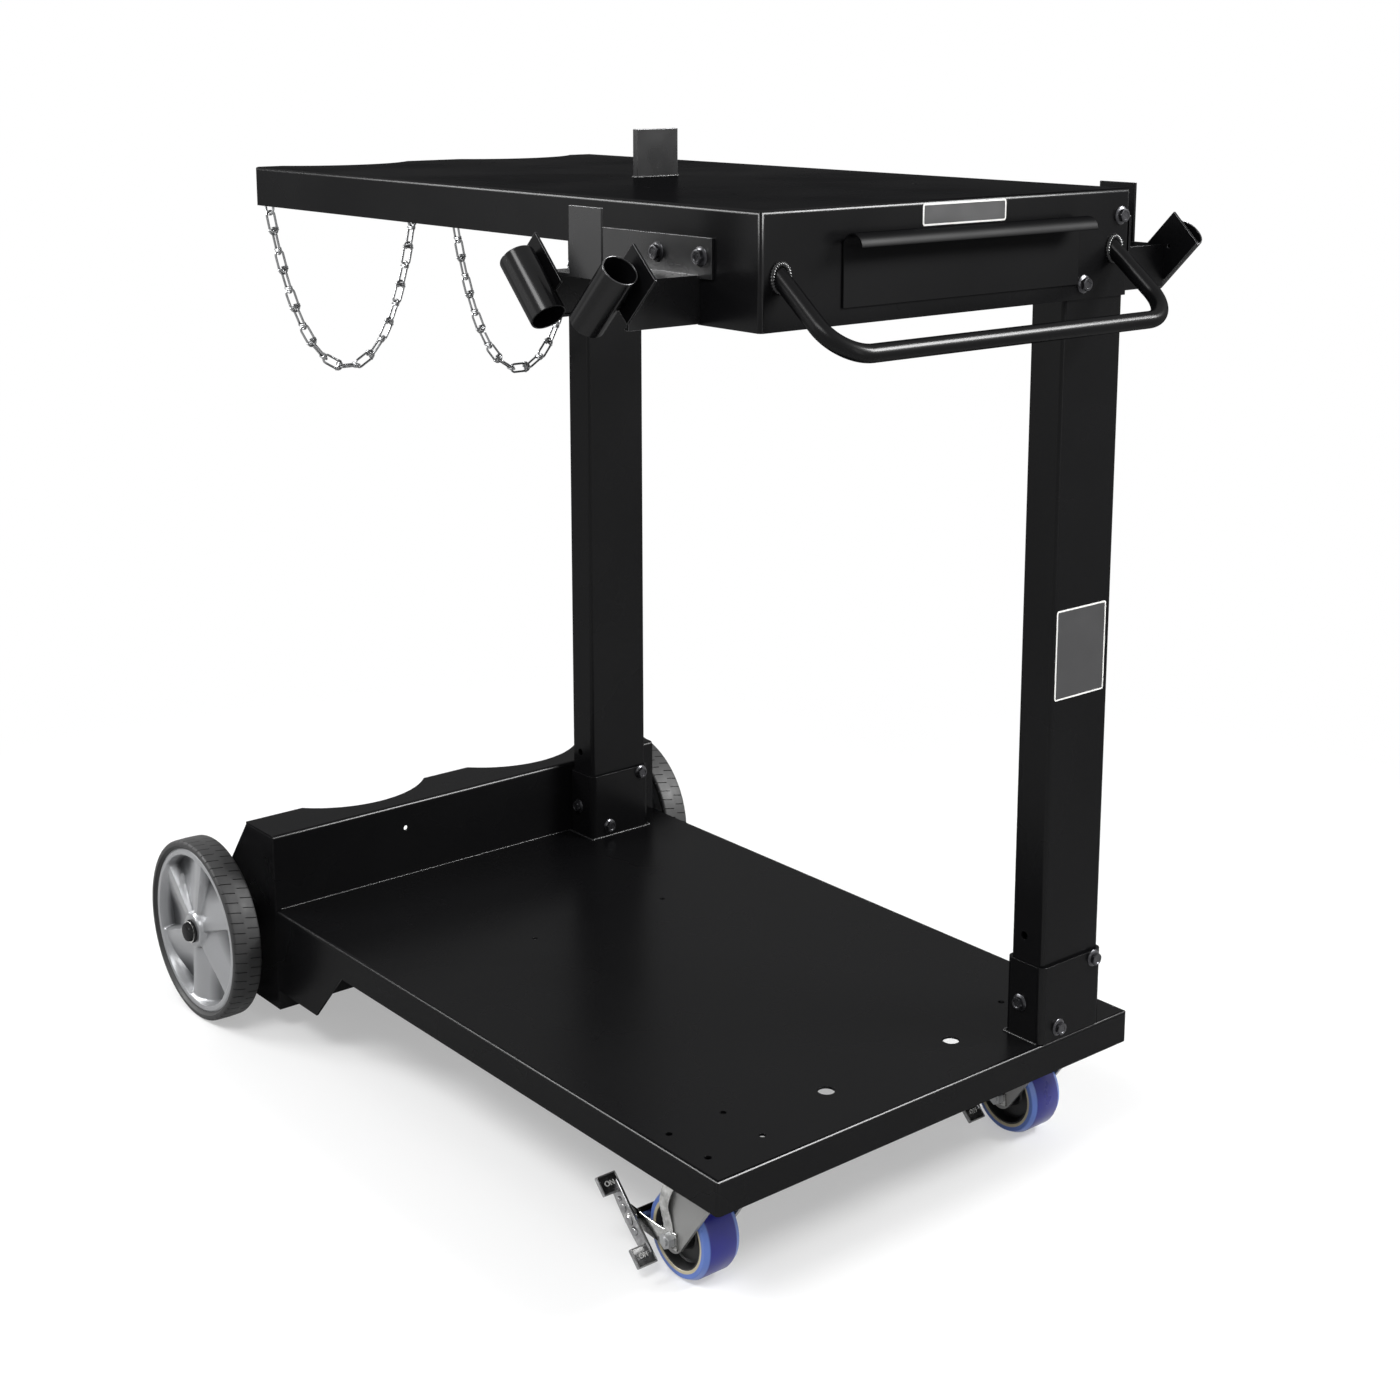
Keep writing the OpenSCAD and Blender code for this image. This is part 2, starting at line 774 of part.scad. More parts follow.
module frame_nuts() {
  h = bolt_d * nut_share;
  color([0.55, 0.55, 0.57])
    cart()
      at_frame_bolts(-post_t - h, -post_t - h, -post_t - h)
        nut(bolt_d, bolt_d * nut_af_share, h);
}

// Shelf with its front panel.
module shelf() {
  color([0.12, 0.12, 0.13])
    cart()
      difference() {
        translate([0, panel_y, shelf_top - panel_h])
          tray(shelf_w, shelf_l, panel_h);
        translate([-shelf_w, return_end, shelf_top - 2 * panel_h])
          cube([2 * shelf_w, shelf_l, 2 * panel_h - mid_skirt]);
        translate([-shelf_w, mid_skirt_l, shelf_top - 2 * panel_h])
          cube([2 * shelf_w, shelf_l, 2 * panel_h - shelf_skirt]);
        bottle_cuts(shelf_end, shelf_top - panel_h, 2 * panel_h);
        translate([tray_mid - open_w / 2, panel_y - sheet_t, open_low])
          cube([open_w, 3 * sheet_t, open_high - open_low]);
        translate([post_x, front_post_y, deck_top])
          post_top_bores();
        translate([post_x, rear_post_y, deck_top])
          post_side_bores();
        at_arm_bolts(0)
          translate([0, 0, -2 * sheet_t])
            cylinder(d = arm_hole, h = 4 * sheet_t);
        for (x = ring_places())
          tube_y(x, shelf_end - 2 * sheet_t, ring_hole_z, ring_hole, 3 * sheet_t);
        for (x = [-1, 1])
          for (y = [hole_row_1, hole_row_2])
            translate([x * shelf_w / 4, y, shelf_low - sheet_t])
              cylinder(d = fix_hole_d, h = 3 * sheet_t);
        for (y = [-1, 1])
          translate([hole_pair_x, hole_pair_y + y * fix_hole_d * 2, shelf_low - sheet_t])
            cylinder(d = fix_hole_d, h = 3 * sheet_t);
      }
}
module shelf_stop() {
  color([0.12, 0.12, 0.13])
    cart()
      translate([-stop_w / 2, shelf_l / 2, shelf_top])
        difference() {
          cube([stop_w, stop_d, stop_h]);
          translate([sheet_t, sheet_t, -eps])
            cube([stop_w - 2 * sheet_t, stop_d, stop_h + 2 * eps]);
        }
}
// two angle rails hung under the shelf
module drawer_rails() {
  ledge_z = tray_low - strip_t - ledge_gap;
  color([0.6, 0.6, 0.62])
    cart()
      for (s = [-1, 1])
        translate([tray_mid, rail_y, 0])
          scale([s, 1, 1])
            translate([open_w / 2, 0, 0]) {
              translate([0, 0, ledge_z - drawer_t])
                cube([drawer_t, rail_l, shelf_low - ledge_z + drawer_t]);
              translate([-rail_lip, 0, ledge_z - drawer_t])
                cube([rail_lip, rail_l, drawer_t]);
              translate([0, panel_h / 2, shelf_low - drawer_t])
                cube([rail_lip, rail_l - panel_h / 2, drawer_t]);
            }
}
module handle_ring() {
  difference() {
    circle(d = handle_d);
    circle(d = handle_d - 2 * handle_t);
  }
}
// the bent tube in its own plane: legs along y, bar along x; every circle starts outside the bends
module handle_tube() {
  for (s = [-1, 1]) {
    translate([s * handle_w / 2, -handle_run + handle_r, 0])
      rotate([-90, 0, 0])
        rotate([0, 0, s > 0 ? 0 : 180])
          linear_extrude(height = handle_run)
            handle_ring();
    translate([s * (handle_w / 2 - handle_r), -handle_run + handle_r, 0])
      rotate([0, 0, s > 0 ? -90 : 180])
        rotate_extrude(angle = 90)
          translate([handle_r, 0])
            handle_ring();
  }
  translate([handle_r - handle_w / 2, -handle_run, 0])
    rotate([0, 90, 0])
      rotate([0, 0, -90])
        linear_extrude(height = handle_w - 2 * handle_r)
          handle_ring();
}
module handle() {
  color([0.12, 0.12, 0.13])
    cart()
      difference() {
        translate([0, panel_y, handle_top])
          rotate([handle_tilt, 0, 0])
            handle_tube();
        translate([-handle_w, panel_y, handle_top - handle_run])
          cube([2 * handle_w, handle_run, 2 * handle_run]);
      }
}

// Hook arms with torch tubes.
module at_arm_bolts(out) {
  for (s = [-1, 1])
    for (i = [0, 1])
      translate([s * (arm_x + out), arm_bolt_y(s, i), arm_bolt_z])
        rotate([0, s * 90, 0])
          children();
}
module hook_arm(s) {
  color([0.12, 0.12, 0.13])
    cart()
      difference() {
        scale([s, 1, 1])
          translate([arm_x, side_y(s), arm_top]) {
            translate([0, -arm_w / 2, -sheet_t])
              cube([arm_l, arm_w, sheet_t]);
            translate([0, -flange_l / 2, -sheet_t])
              cube([sheet_t, flange_l, flange_h + sheet_t]);
            for (e = [-1, 1]) {
              translate([0, e * (arm_w - sheet_t) / 2 - sheet_t / 2, -arm_h])
                cube([arm_l, sheet_t, arm_h]);
              translate([0, e * (arm_w - arm_hem) / 2 - arm_hem / 2, -arm_h])
                cube([arm_l, arm_hem, sheet_t]);
            }
            translate([arm_l - sheet_t, -tongue_w / 2, -sheet_t])
              cube([sheet_t, tongue_w, tongue_h + sheet_t]);
          }
        at_arm_bolts(0)
          translate([0, 0, -2 * sheet_t])
            cylinder(d = arm_hole, h = 4 * sheet_t);
      }
}
module left_hook_arm() {
  hook_arm(-1);
}
module right_hook_arm() {
  hook_arm(1);
}
module torch_plates() {
  color([0.12, 0.12, 0.13])
    cart()
      for (s = [-1, 1])
        for (e = [-1, 1])
          translate([s * (arm_end + sheet_t / 2), side_y(s) + e * plate_gap / 2, plate_z])
            rotate([-e * torch_lean, 0, 0])
              difference() {
                cube([sheet_t, plate_w, plate_l], center = true);
                rotate([0, 90, 0])
                  cylinder(d = fix_hole_d * 0.6, h = 3 * sheet_t, center = true);
              }
}
module torch_tubes() {
  color([0.12, 0.12, 0.13])
    cart()
      for (s = [-1, 1])
        for (e = [-1, 1])
          translate([s * torch_x, side_y(s) + e * torch_gap / 2, torch_z])
            rotate([-e * torch_lean, 0, 0])
              difference() {
                cylinder(d = torch_d, h = torch_l, center = true);
                cylinder(d = torch_bore, h = 2 * torch_l, center = true);
              }
}
module arm_bolts() {
  color([0.2, 0.2, 0.21])
    cart()
      at_arm_bolts(sheet_t)
        bolt(arm_bolt_d, bolt_l, bolt_af);
}
module arm_nuts() {
  h = arm_bolt_d * nut_share;
  color([0.55, 0.55, 0.57])
    cart()
      at_arm_bolts(-sheet_t - h)
        nut(arm_bolt_d, arm_bolt_d * nut_af_share, h);
}

// Chains.
module chain_rings() {
  color([0.75, 0.75, 0.77])
    cart()
      for (x = ring_places())
        translate([x, chain_y, ring_z])
          rotate([0, 90, 0])
            rotate_extrude()
              translate([ring_r, 0])
                circle(d = wire_d, $fn = 24);
}
// one oval link, long axis along x, in the xz plane
module link() {
  r = (link_w - wire_d) / 2;
  flat = link_l - link_w;
  rotate([90, 0, 0]) {
    for (s = [-1, 1])
      translate([s * flat / 2, 0, 0])
        rotate([0, 0, s > 0 ? -90 : 90])
          rotate_extrude(angle = 180)
            translate([r, 0])
              circle(d = wire_d, $fn = 24);
    for (s = [-1, 1])
      translate([-flat / 2, s * r, 0])
        rotate([0, 90, 0])
          cylinder(d = wire_d, h = flat, $fn = 24);
  }
}
module chain(x, n, a) {
  color([0.75, 0.75, 0.77])
    cart()
      translate([x, chain_y, hang_z - end_z(n, a)])
        for (i = [-half(n):half(n)])
          translate([sign(i) * run_x(abs(i), a), 0, run_z(abs(i), a)])
            rotate([0, -lean(i, a), 0])
              rotate([(i + half(n)) % 2 == 0 ? 0 : 90, 0, 0])
                link();
}
module left_chain() {
  chain(-chain_x, left_links, left_sag);
}
module right_chain() {
  chain(chain_x, right_links, right_sag);
}

// Drawer.
module drawer_tray() {
  color([0.14, 0.14, 0.15])
    cart()
      translate([tray_mid - drawer_w / 2, face_y, tray_low])
        difference() {
          cube([drawer_w, drawer_l, drawer_h]);
          translate([drawer_t, drawer_t, drawer_t])
            cube([drawer_w - 2 * drawer_t, drawer_l - 2 * drawer_t, drawer_h]);
        }
}
// face plate with the pull curled over its top edge
module drawer_face() {
  color([0.12, 0.12, 0.13])
    cart()
      translate([face_x, face_y - drawer_t, 0]) {
        translate([-face_w / 2, 0, face_low])
          cube([face_w, drawer_t, face_h - pull_r]);
        translate([-face_w / 2, drawer_t - pull_r, face_top - pull_r])
          rotate([0, 90, 0])
            difference() {
              cylinder(r = pull_r, h = face_w);
              translate([0, 0, -eps])
                cylinder(r = pull_r - drawer_t, h = face_w + 2 * eps);
              translate([0, -pull_r, -eps])
                cube([2 * pull_r, 2 * pull_r, face_w + 2 * eps]);
              rotate([0, 0, 55])
                translate([-pull_r, -2 * pull_r, -eps])
                  cube([2 * pull_r, pull_r * 1.2, face_w + 2 * eps]);
            }
      }
}
module drawer_strips() {
  color([0.8, 0.8, 0.78])
    cart()
      for (s = [-1, 1])
        translate([tray_mid + s * (drawer_w - strip_w) / 2 - strip_w / 2, rail_y, tray_low - strip_t])
          cube([strip_w, drawer_l - rail_y, strip_t]);
}

// Rear wheels, axis along x, outer face away from the cart.
module wheel_place(s) {
  cart()
    translate([s * wheel_mid, axle_y, axle_z])
      rotate([0, s * 90, 0])
        children();
}
module rim(s) {
  in_r = seat_d / 2;
  color([0.62, 0.63, 0.65])
    wheel_place(s)
      difference() {
        rotate_extrude($fn = 96)
          polygon([[bush_d / 2, -hub_w / 2], [hub_d / 2, -hub_w / 2], [hub_d / 2, -web_w],
            [in_r * 0.88, -web_w], [in_r * 0.91, -tyre_w * 0.42], [in_r, -tyre_w * 0.42],
            [in_r, tyre_w * 0.42], [in_r * 0.91, tyre_w * 0.42], [in_r * 0.88, web_w],
            [hub_d / 2, tyre_w * 0.3], [hub_d / 2, hub_w / 2], [bush_d / 2, hub_w / 2]]);
        for (a = [0:60:300])
          rotate([0, 0, a])
            intersection() {
              difference() {
                cylinder(r = in_r * 0.84, h = tyre_w, $fn = 96);
                cylinder(r = hub_d * 0.68, h = 3 * tyre_w, center = true, $fn = 96);
              }
              rim_pocket();
            }
      }
}
// a wedge that leaves a spoke on each of its sides
module rim_pocket() {
  w = hub_d * 0.2;
  translate([0, 0, web_w * 0.1])
    linear_extrude(height = tyre_w)
      polygon([[w, w * 0.6], [seat_d, seat_d * 0.32], [seat_d, -seat_d * 0.32], [w, -w * 0.6]]);
}
module tyre(s) {
  color([0.09, 0.09, 0.09])
    wheel_place(s)
      rotate_extrude($fn = 96)
        polygon([[seat_d / 2, -tyre_w / 2 * 0.84], [tyre_d / 2 * 0.93, -tyre_w / 2],
          [tyre_d / 2 * 0.985, -tyre_w * 0.42], [tyre_d / 2, -tyre_w * 0.25],
          [tyre_d / 2, tyre_w * 0.25], [tyre_d / 2 * 0.985, tyre_w * 0.42],
          [tyre_d / 2 * 0.93, tyre_w / 2], [seat_d / 2, tyre_w / 2 * 0.84]]);
}
module hub_bush(s) {
  color([0.25, 0.25, 0.26])
    wheel_place(s)
      difference() {
        cylinder(d = bush_d, h = hub_w, center = true);
        cylinder(d = axle_d + 2 * run_gap, h = 2 * hub_w, center = true);
      }
}
module left_rim() {
  rim(-1);
}
module left_tyre() {
  tyre(-1);
}
module left_bush() {
  hub_bush(-1);
}
module right_rim() {
  rim(1);
}
module right_tyre() {
  tyre(1);
}
module right_bush() {
  hub_bush(1);
}

// Casters.
module at_casters() {
  for (s = [-1, 1])
    translate([s * caster_mid, caster_y, 0])
      children();
}
module at_pad_bolts() {
  for (i = [-1, 1])
    for (j = [-1, 1])
      translate([i * pad_bx / 2, j * pad_by / 2, 0])
        children();
}
module caster_plates() {
  color([0.6, 0.6, 0.62])
    cart()
      at_casters()
        difference() {
          union() {
            translate([0, -pad_depth / 2, pad_z])
              prism_z(pad_w, pad_depth, pad_t, pad_t);
            translate([0, 0, race_z])
              cylinder(d = race_d, h = race_h + eps);
          }
          translate([0, 0, race_z - eps])
            cylinder(d = king_d, h = race_h + pad_t + 2 * eps);
          at_pad_bolts()
            translate([0, 0, pad_z - pad_t])
              cylinder(d = pad_bolt_d + hole_gap, h = 3 * pad_t);
        }
}
module caster_kingpins() {
  color([0.5, 0.5, 0.52])
    cart()
      at_casters() {
        translate([0, 0, crown_z - side_gap - king_head])
          cylinder(d = king_d + king_rim, h = king_head);
        translate([0, 0, crown_z - side_gap - eps])
          cylinder(d = king_d, h = caster_h - crown_z + side_gap + eps);
      }
}
module caster_bolts() {
  color([0.7, 0.7, 0.72])
    cart()
      at_casters()
        at_pad_bolts()
          translate([0, 0, pad_z])
            rotate([180, 0, 0])
              bolt(pad_bolt_d, pad_t + sheet_t + pad_bolt_d, pad_bolt_d * nut_af_share);
}
module caster_nuts() {
  color([0.7, 0.7, 0.72])
    cart()
      at_casters()
        at_pad_bolts()
          translate([0, 0, pad_nut_z])
            nut(pad_bolt_d, pad_bolt_d * nut_af_share, pad_bolt_d * nut_share);
}
module caster_place(s) {
  cart()
    translate([s * caster_mid, caster_y, 0])
      children();
}
// one leg of the fork: a plate that narrows to a round eye at the axle
module fork_leg() {
  eye = 17 * unit;
  rotate([90, 0, 90])
    linear_extrude(height = fork_t)
      union() {
        polygon([[-race_d / 2, crown_z + fork_t], [race_d / 2, crown_z + fork_t],
          [trail + eye * 0.97, roll_z + eye * 0.26], [trail - eye * 0.8, roll_z - eye * 0.6],
          [-race_d / 2, crown_z - fork_t]]);
        translate([trail, roll_z])
          circle(r = eye);
      }
}
module fork(s) {
  color([0.66, 0.66, 0.66])
    caster_place(s)
      difference() {
        union() {
          translate([0, 0, crown_z])
            cylinder(d = race_d, h = fork_t);
          translate([-leg_out, -race_d / 2, crown_z])
            cube([2 * leg_out, race_d, fork_t]);
          translate([leg_in, 0, 0])
            fork_leg();
          translate([-leg_out, 0, 0])
            fork_leg();
        }
        translate([0, 0, crown_z - eps])
          cylinder(d = king_d + 2 * run_gap, h = fork_t + 2 * eps);
        tube_x(-2 * leg_out, trail, roll_z, roll_axle_d + hole_gap, 4 * leg_out);
      }
}
module roll_axle(s) {
  color([0.75, 0.75, 0.77])
    caster_place(s)
      translate([leg_out, trail, roll_z])
        rotate([0, 90, 0])
          bolt(roll_axle_d, 2 * leg_out + strap_t + roll_axle_d, roll_axle_d * nut_af_share);
}
module roll_nut(s) {
  h = roll_axle_d * nut_share;
  color([0.75, 0.75, 0.77])
    caster_place(s)
      translate([-strap_out - h, trail, roll_z])
        rotate([0, 90, 0])
          nut(roll_axle_d, roll_axle_d * nut_af_share, h);
}
module roll_sleeve(s) {
  color([0.7, 0.7, 0.72])
    caster_place(s)
      translate([-leg_in, trail, roll_z])
        rotate([0, 90, 0])
          difference() {
            cylinder(d = sleeve_d, h = 2 * leg_in);
            translate([0, 0, -eps])
              cylinder(d = roll_axle_d + nut_gap, h = 2 * leg_in + 2 * eps);
          }
}
module core(s) {
  r = core_d / 2;
  in_r = sleeve_d / 2 + run_gap;
  w = roll_w / 2;
  color([0.8, 0.76, 0.66])
    caster_place(s)
      translate([0, trail, roll_z])
        rotate([0, 90, 0])
          rotate_extrude($fn = 96)
            polygon([[in_r, -w - side_gap], [in_r * 1.7, -w - side_gap], [in_r * 1.9, -w * 0.5],
              [r * 0.78, -w * 0.5], [r * 0.84, -w], [r, -w], [r, w], [r * 0.84, w],
              [r * 0.78, w * 0.5], [in_r * 1.9, w * 0.5], [in_r * 1.7, w + side_gap],
              [in_r, w + side_gap]]);
}
module tread(s) {
  r = roll_d / 2;
  w = roll_w / 2;
  color([0.16, 0.2, 0.55])
    caster_place(s)
      translate([0, trail, roll_z])
        rotate([0, 90, 0])
          rotate_extrude($fn = 96)
            polygon([[core_d / 2, -w], [r * 0.93, -w], [r, -w * 0.72], [r, w * 0.72], [r * 0.93, w],
              [core_d / 2, w]]);
}
// strap held under the axle nut; it carries the brake's pivot behind the wheel
module brake_strap(s) {
  wide = 24 * unit;
  color([0.7, 0.7, 0.72])
    caster_place(s)
      difference() {
        union() {
          tube_x(-strap_out, trail, roll_z, wide, strap_t);
          tube_x(-strap_out, trail + brake_back, roll_z, wide, strap_t);
          translate([-strap_out, trail, roll_z - wide / 2])
            cube([strap_t, brake_back, wide]);
          translate([-strap_out, trail - wide / 2, roll_z])
            cube([strap_t, wide, crown_z - roll_z]);
        }
        tube_x(-2 * leg_out, trail, roll_z, roll_axle_d + hole_gap, 4 * leg_out);
        tube_x(-2 * leg_out, trail + brake_back, roll_z, pin_d + 2 * run_gap, 4 * leg_out);
      }
}
// shaft of the brake: it turns in the strap and carries the off centre cam behind the tread
module brake_cam(s) {
  color([0.75, 0.75, 0.77])
    caster_place(s)
      translate([0, trail + brake_back, roll_z]) {
        tube_x(-lever_out, 0, 0, pin_d, lever_out);
        tube_x(-lever_out - strap_t, 0, 0, pin_d * 1.7, strap_t);
        rotate([cam_turn, 0, 0])
          tube_x(side_gap - leg_out, -cam_off, 0, cam_d, leg_out - side_gap);
      }
}
// rocker with a pad at each end, fast on the cam's shaft
module brake_lever(s) {
  w = 22 * unit;
  reach = 16 * unit;
  color([0.6, 0.6, 0.62])
    caster_place(s)
      translate([0, trail + brake_back, roll_z])
        difference() {
          union() {
            rotate([lever_tilt, 0, 0]) {
              translate([-lever_out, -brake_l / 2, -w / 2])
                cube([brake_t, brake_l, w]);
              for (e = [-1, 1])
                translate([-lever_out - reach, e * brake_l / 2 - brake_pad_w / 2, -w * 0.1])
                  cube([reach + brake_t, brake_pad_w, w * 0.24]);
            }
          }
          tube_x(-2 * lever_out, 0, 0, pin_d, 4 * lever_out);
        }
}
module left_fork() {
  fork(-1);
}
module left_roll_axle() {
  roll_axle(-1);
}
module left_roll_nut() {
  roll_nut(-1);
}
module left_roll_sleeve() {
  roll_sleeve(-1);
}
module left_core() {
  core(-1);
}
module left_tread() {
  tread(-1);
}
module left_brake_strap() {
  brake_strap(-1);
}
module left_brake_cam() {
  brake_cam(-1);
}
module left_brake_lever() {
  brake_lever(-1);
}
module right_fork() {
  fork(1);
}
module right_roll_axle() {
  roll_axle(1);
}
module right_roll_nut() {
  roll_nut(1);
}
module right_roll_sleeve() {
  roll_sleeve(1);
}
module right_core() {
  core(1);
}
module right_tread() {
  tread(1);
}
module right_brake_strap() {
  brake_strap(1);
}
module right_brake_cam() {
  brake_cam(1);
}
module right_brake_lever() {
  brake_lever(1);
}

deck();
bottle_wall();
end_plates();
bottle_platform();
stub_axles();
axle_washers();
hub_caps();
front_channel();
rear_channel();
post_sockets();
rear_post();
front_post();
frame_bolts();
frame_nuts();
shelf();
shelf_stop();
drawer_rails();
handle();
left_hook_arm();
right_hook_arm();
torch_plates();
torch_tubes();
arm_bolts();
arm_nuts();
chain_rings();
drawer_tray();
drawer_face();
drawer_strips();
left_rim();
left_tyre();
left_bush();
right_rim();
right_tyre();
right_bush();
left_chain();
right_chain();
caster_plates();
caster_kingpins();
caster_bolts();
caster_nuts();
left_fork();
left_roll_axle();
left_roll_nut();
left_roll_sleeve();
left_core();
left_tread();
left_brake_strap();
left_brake_cam();
left_brake_lever();
right_fork();
right_roll_axle();
right_roll_nut();
right_roll_sleeve();
right_core();
right_tread();
right_brake_strap();
right_brake_cam();
right_brake_lever();
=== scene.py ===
# Welding cart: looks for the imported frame. Metres, row frame, floor at z = 0.
import json
import math

import bmesh
import bpy
import numpy as np
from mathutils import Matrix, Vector

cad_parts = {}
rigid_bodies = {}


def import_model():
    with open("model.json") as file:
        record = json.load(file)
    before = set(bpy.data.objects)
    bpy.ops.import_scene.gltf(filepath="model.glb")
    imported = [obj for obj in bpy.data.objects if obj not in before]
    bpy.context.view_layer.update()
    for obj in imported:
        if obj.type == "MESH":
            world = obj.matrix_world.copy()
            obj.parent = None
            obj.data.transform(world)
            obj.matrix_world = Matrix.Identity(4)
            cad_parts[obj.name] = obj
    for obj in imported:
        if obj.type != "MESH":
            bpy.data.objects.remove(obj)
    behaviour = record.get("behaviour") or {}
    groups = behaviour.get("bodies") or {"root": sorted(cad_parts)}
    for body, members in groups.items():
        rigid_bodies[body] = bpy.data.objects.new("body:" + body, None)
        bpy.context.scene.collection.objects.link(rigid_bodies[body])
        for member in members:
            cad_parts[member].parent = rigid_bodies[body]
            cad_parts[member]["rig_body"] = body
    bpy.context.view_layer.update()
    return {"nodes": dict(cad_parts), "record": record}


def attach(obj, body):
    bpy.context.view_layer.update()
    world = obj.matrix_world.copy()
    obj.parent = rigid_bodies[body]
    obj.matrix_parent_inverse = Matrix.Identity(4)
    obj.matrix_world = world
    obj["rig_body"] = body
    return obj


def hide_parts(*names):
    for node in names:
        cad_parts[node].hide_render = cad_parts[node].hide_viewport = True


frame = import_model()
mm = 0.001
rowShift = -0.54425  # distances along the cart are measured from the deck's front face


def along(distance):
    return distance * mm + rowShift


print("frame loaded:", len(frame["nodes"]), "nodes")

# Camera at the photograph's viewing angle
cameraSet = {
    "place": (-1.647, -2.1245, 1.3281),
    "yaw": 0.6878,      # radians from +Y towards +X
    "pitch": 0.201,     # radians below level
    "lens": 56.0,
    "shiftY": -0.15,
}
camera = bpy.data.objects.new("camera", bpy.data.cameras.new("camera"))
bpy.context.scene.collection.objects.link(camera)
camera.location = cameraSet["place"]
camera.rotation_euler = (math.pi / 2 - cameraSet["pitch"], 0, -cameraSet["yaw"])
camera.data.lens = cameraSet["lens"]
camera.data.sensor_width = 36
camera.data.shift_y = cameraSet["shiftY"]
camera.data.clip_end = 60
bpy.context.scene.camera = camera
bpy.context.scene.view_settings.view_transform = "Standard"


# Colours are sRGB hex values, made linear by the standard curve
def linear(hexColor):
    parts = [int(hexColor[i:i + 2], 16) / 255 for i in (1, 3, 5)]
    return tuple(c / 12.92 if c <= 0.04045 else ((c + 0.055) / 1.055) ** 2.4 for c in parts) + (1.0,)


# Adds a node, sets its properties, and fills or links its inputs
def addNode(tree, kind, inputs=None, **settings):
    node = tree.nodes.new(kind)
    for key, value in settings.items():
        setattr(node, key, value)
    for key, value in (inputs or {}).items():
        if isinstance(value, bpy.types.NodeSocket):
            tree.links.new(value, node.inputs[key])
        else:
            node.inputs[key].default_value = value
    return node


# The value of a math node on one or two values
def combined(tree, operation, *values):
    return addNode(tree, "ShaderNodeMath", dict(enumerate(values)), operation=operation).outputs["Value"]


# The emptied node tree of a material or a world
def clearTree(owner):
    owner.use_nodes = True
    owner.node_tree.nodes.clear()
    return owner.node_tree


# 1 for rays from the camera, off gloss or through glass, and 0 for rays that light something
def seenRays(tree):
    path = addNode(tree, "ShaderNodeLightPath").outputs
    seen = combined(tree, "MAXIMUM", path["Is Camera Ray"], path["Is Glossy Ray"])
    return combined(tree, "MAXIMUM", seen, path["Is Transmission Ray"])


reliefDepth = 0.1   # mm, of the fine bump
noiseSpan = (0.3, 0.7)   # where most values of the slow noise lie
# the sheen fades from this facing value on, and this share of it is left where it ends
sheenFade = {"start": 0.15, "left": 0.012}


# A worn or moulded surface: two colours and two roughnesses mixed by a slow noise, and a fine bump.
# blotch and grain are real sizes in mm; a noise's scale is one over its size in metres.
def makeMaterial(name, dark, light, roughness, metallic=0.0, blotch=60.0, grain=2.5, bump=0.1,
                 specular=0.5, grazing=0.0, paintedLightZones=None):
    material = bpy.data.materials.new(name)
    tree = clearTree(material)
    place = addNode(tree, "ShaderNodeTexCoord").outputs["Object"]
    slow = addNode(tree, "ShaderNodeTexNoise", {"Vector": place, "Scale": 1000 / blotch, "Detail": 3.0})
    fine = addNode(tree, "ShaderNodeTexNoise", {"Vector": place, "Scale": 1000 / grain, "Detail": 2.0})
    # in a Mix node, the factor is socket 0 and the two colours are sockets 6 and 7
    color = addNode(tree, "ShaderNodeMix", {0: slow.outputs["Fac"], 6: linear(dark), 7: linear(light)},
                    data_type="RGBA")
    base = color.outputs[2]
    # these zones paint light and shade: a painted shade deep in the rim's pockets and a painted highlight on
    # the tread's chamfers
    if paintedLightZones:  # a second colour that fades in with the distance from a plane across X, given in mm
        x = addNode(tree, "ShaderNodeSeparateXYZ", {"Vector": place}).outputs["X"]
        side = combined(tree, "ABSOLUTE", x)
        off = combined(tree, "ABSOLUTE", combined(tree, "SUBTRACT", side, paintedLightZones["plane"] * mm))
        part = addNode(tree, "ShaderNodeMapRange", {"Value": off, "From Min": paintedLightZones["near"] * mm,
                                                    "From Max": paintedLightZones["far"] * mm}).outputs["Result"]
        base = addNode(tree, "ShaderNodeMix", {0: part, 6: base, 7: linear(paintedLightZones["color"])},
                       data_type="RGBA").outputs[2]
    rough = addNode(tree, "ShaderNodeMapRange", {
        "Value": slow.outputs["Fac"], "From Min": noiseSpan[0], "From Max": noiseSpan[1],
        "To Min": roughness[0], "To Max": roughness[1]})
    relief = addNode(tree, "ShaderNodeBump", {"Height": fine.outputs["Fac"], "Strength": bump,
                                              "Distance": reliefDepth * mm})
    if grazing:  # the sheen fades with the square of the share, and is nearly gone from grazing on
        facing = addNode(tree, "ShaderNodeLayerWeight", {"Blend": 0.5}).outputs["Facing"]
        share = addNode(tree, "ShaderNodeMapRange", {
            "Value": facing, "From Min": sheenFade["start"], "From Max": grazing,
            "To Min": 1.0, "To Max": sheenFade["left"]}).outputs["Result"]
        specular = combined(tree, "MULTIPLY", combined(tree, "MULTIPLY", share, share), specular)
    shader = addNode(tree, "ShaderNodeBsdfPrincipled", {
        "Base Color": base, "Roughness": rough.outputs["Result"],
        "Normal": relief.outputs["Normal"], "Metallic": metallic, "Specular IOR Level": specular})
    addNode(tree, "ShaderNodeOutputMaterial", {"Surface": shader.outputs["BSDF"]})
    return material


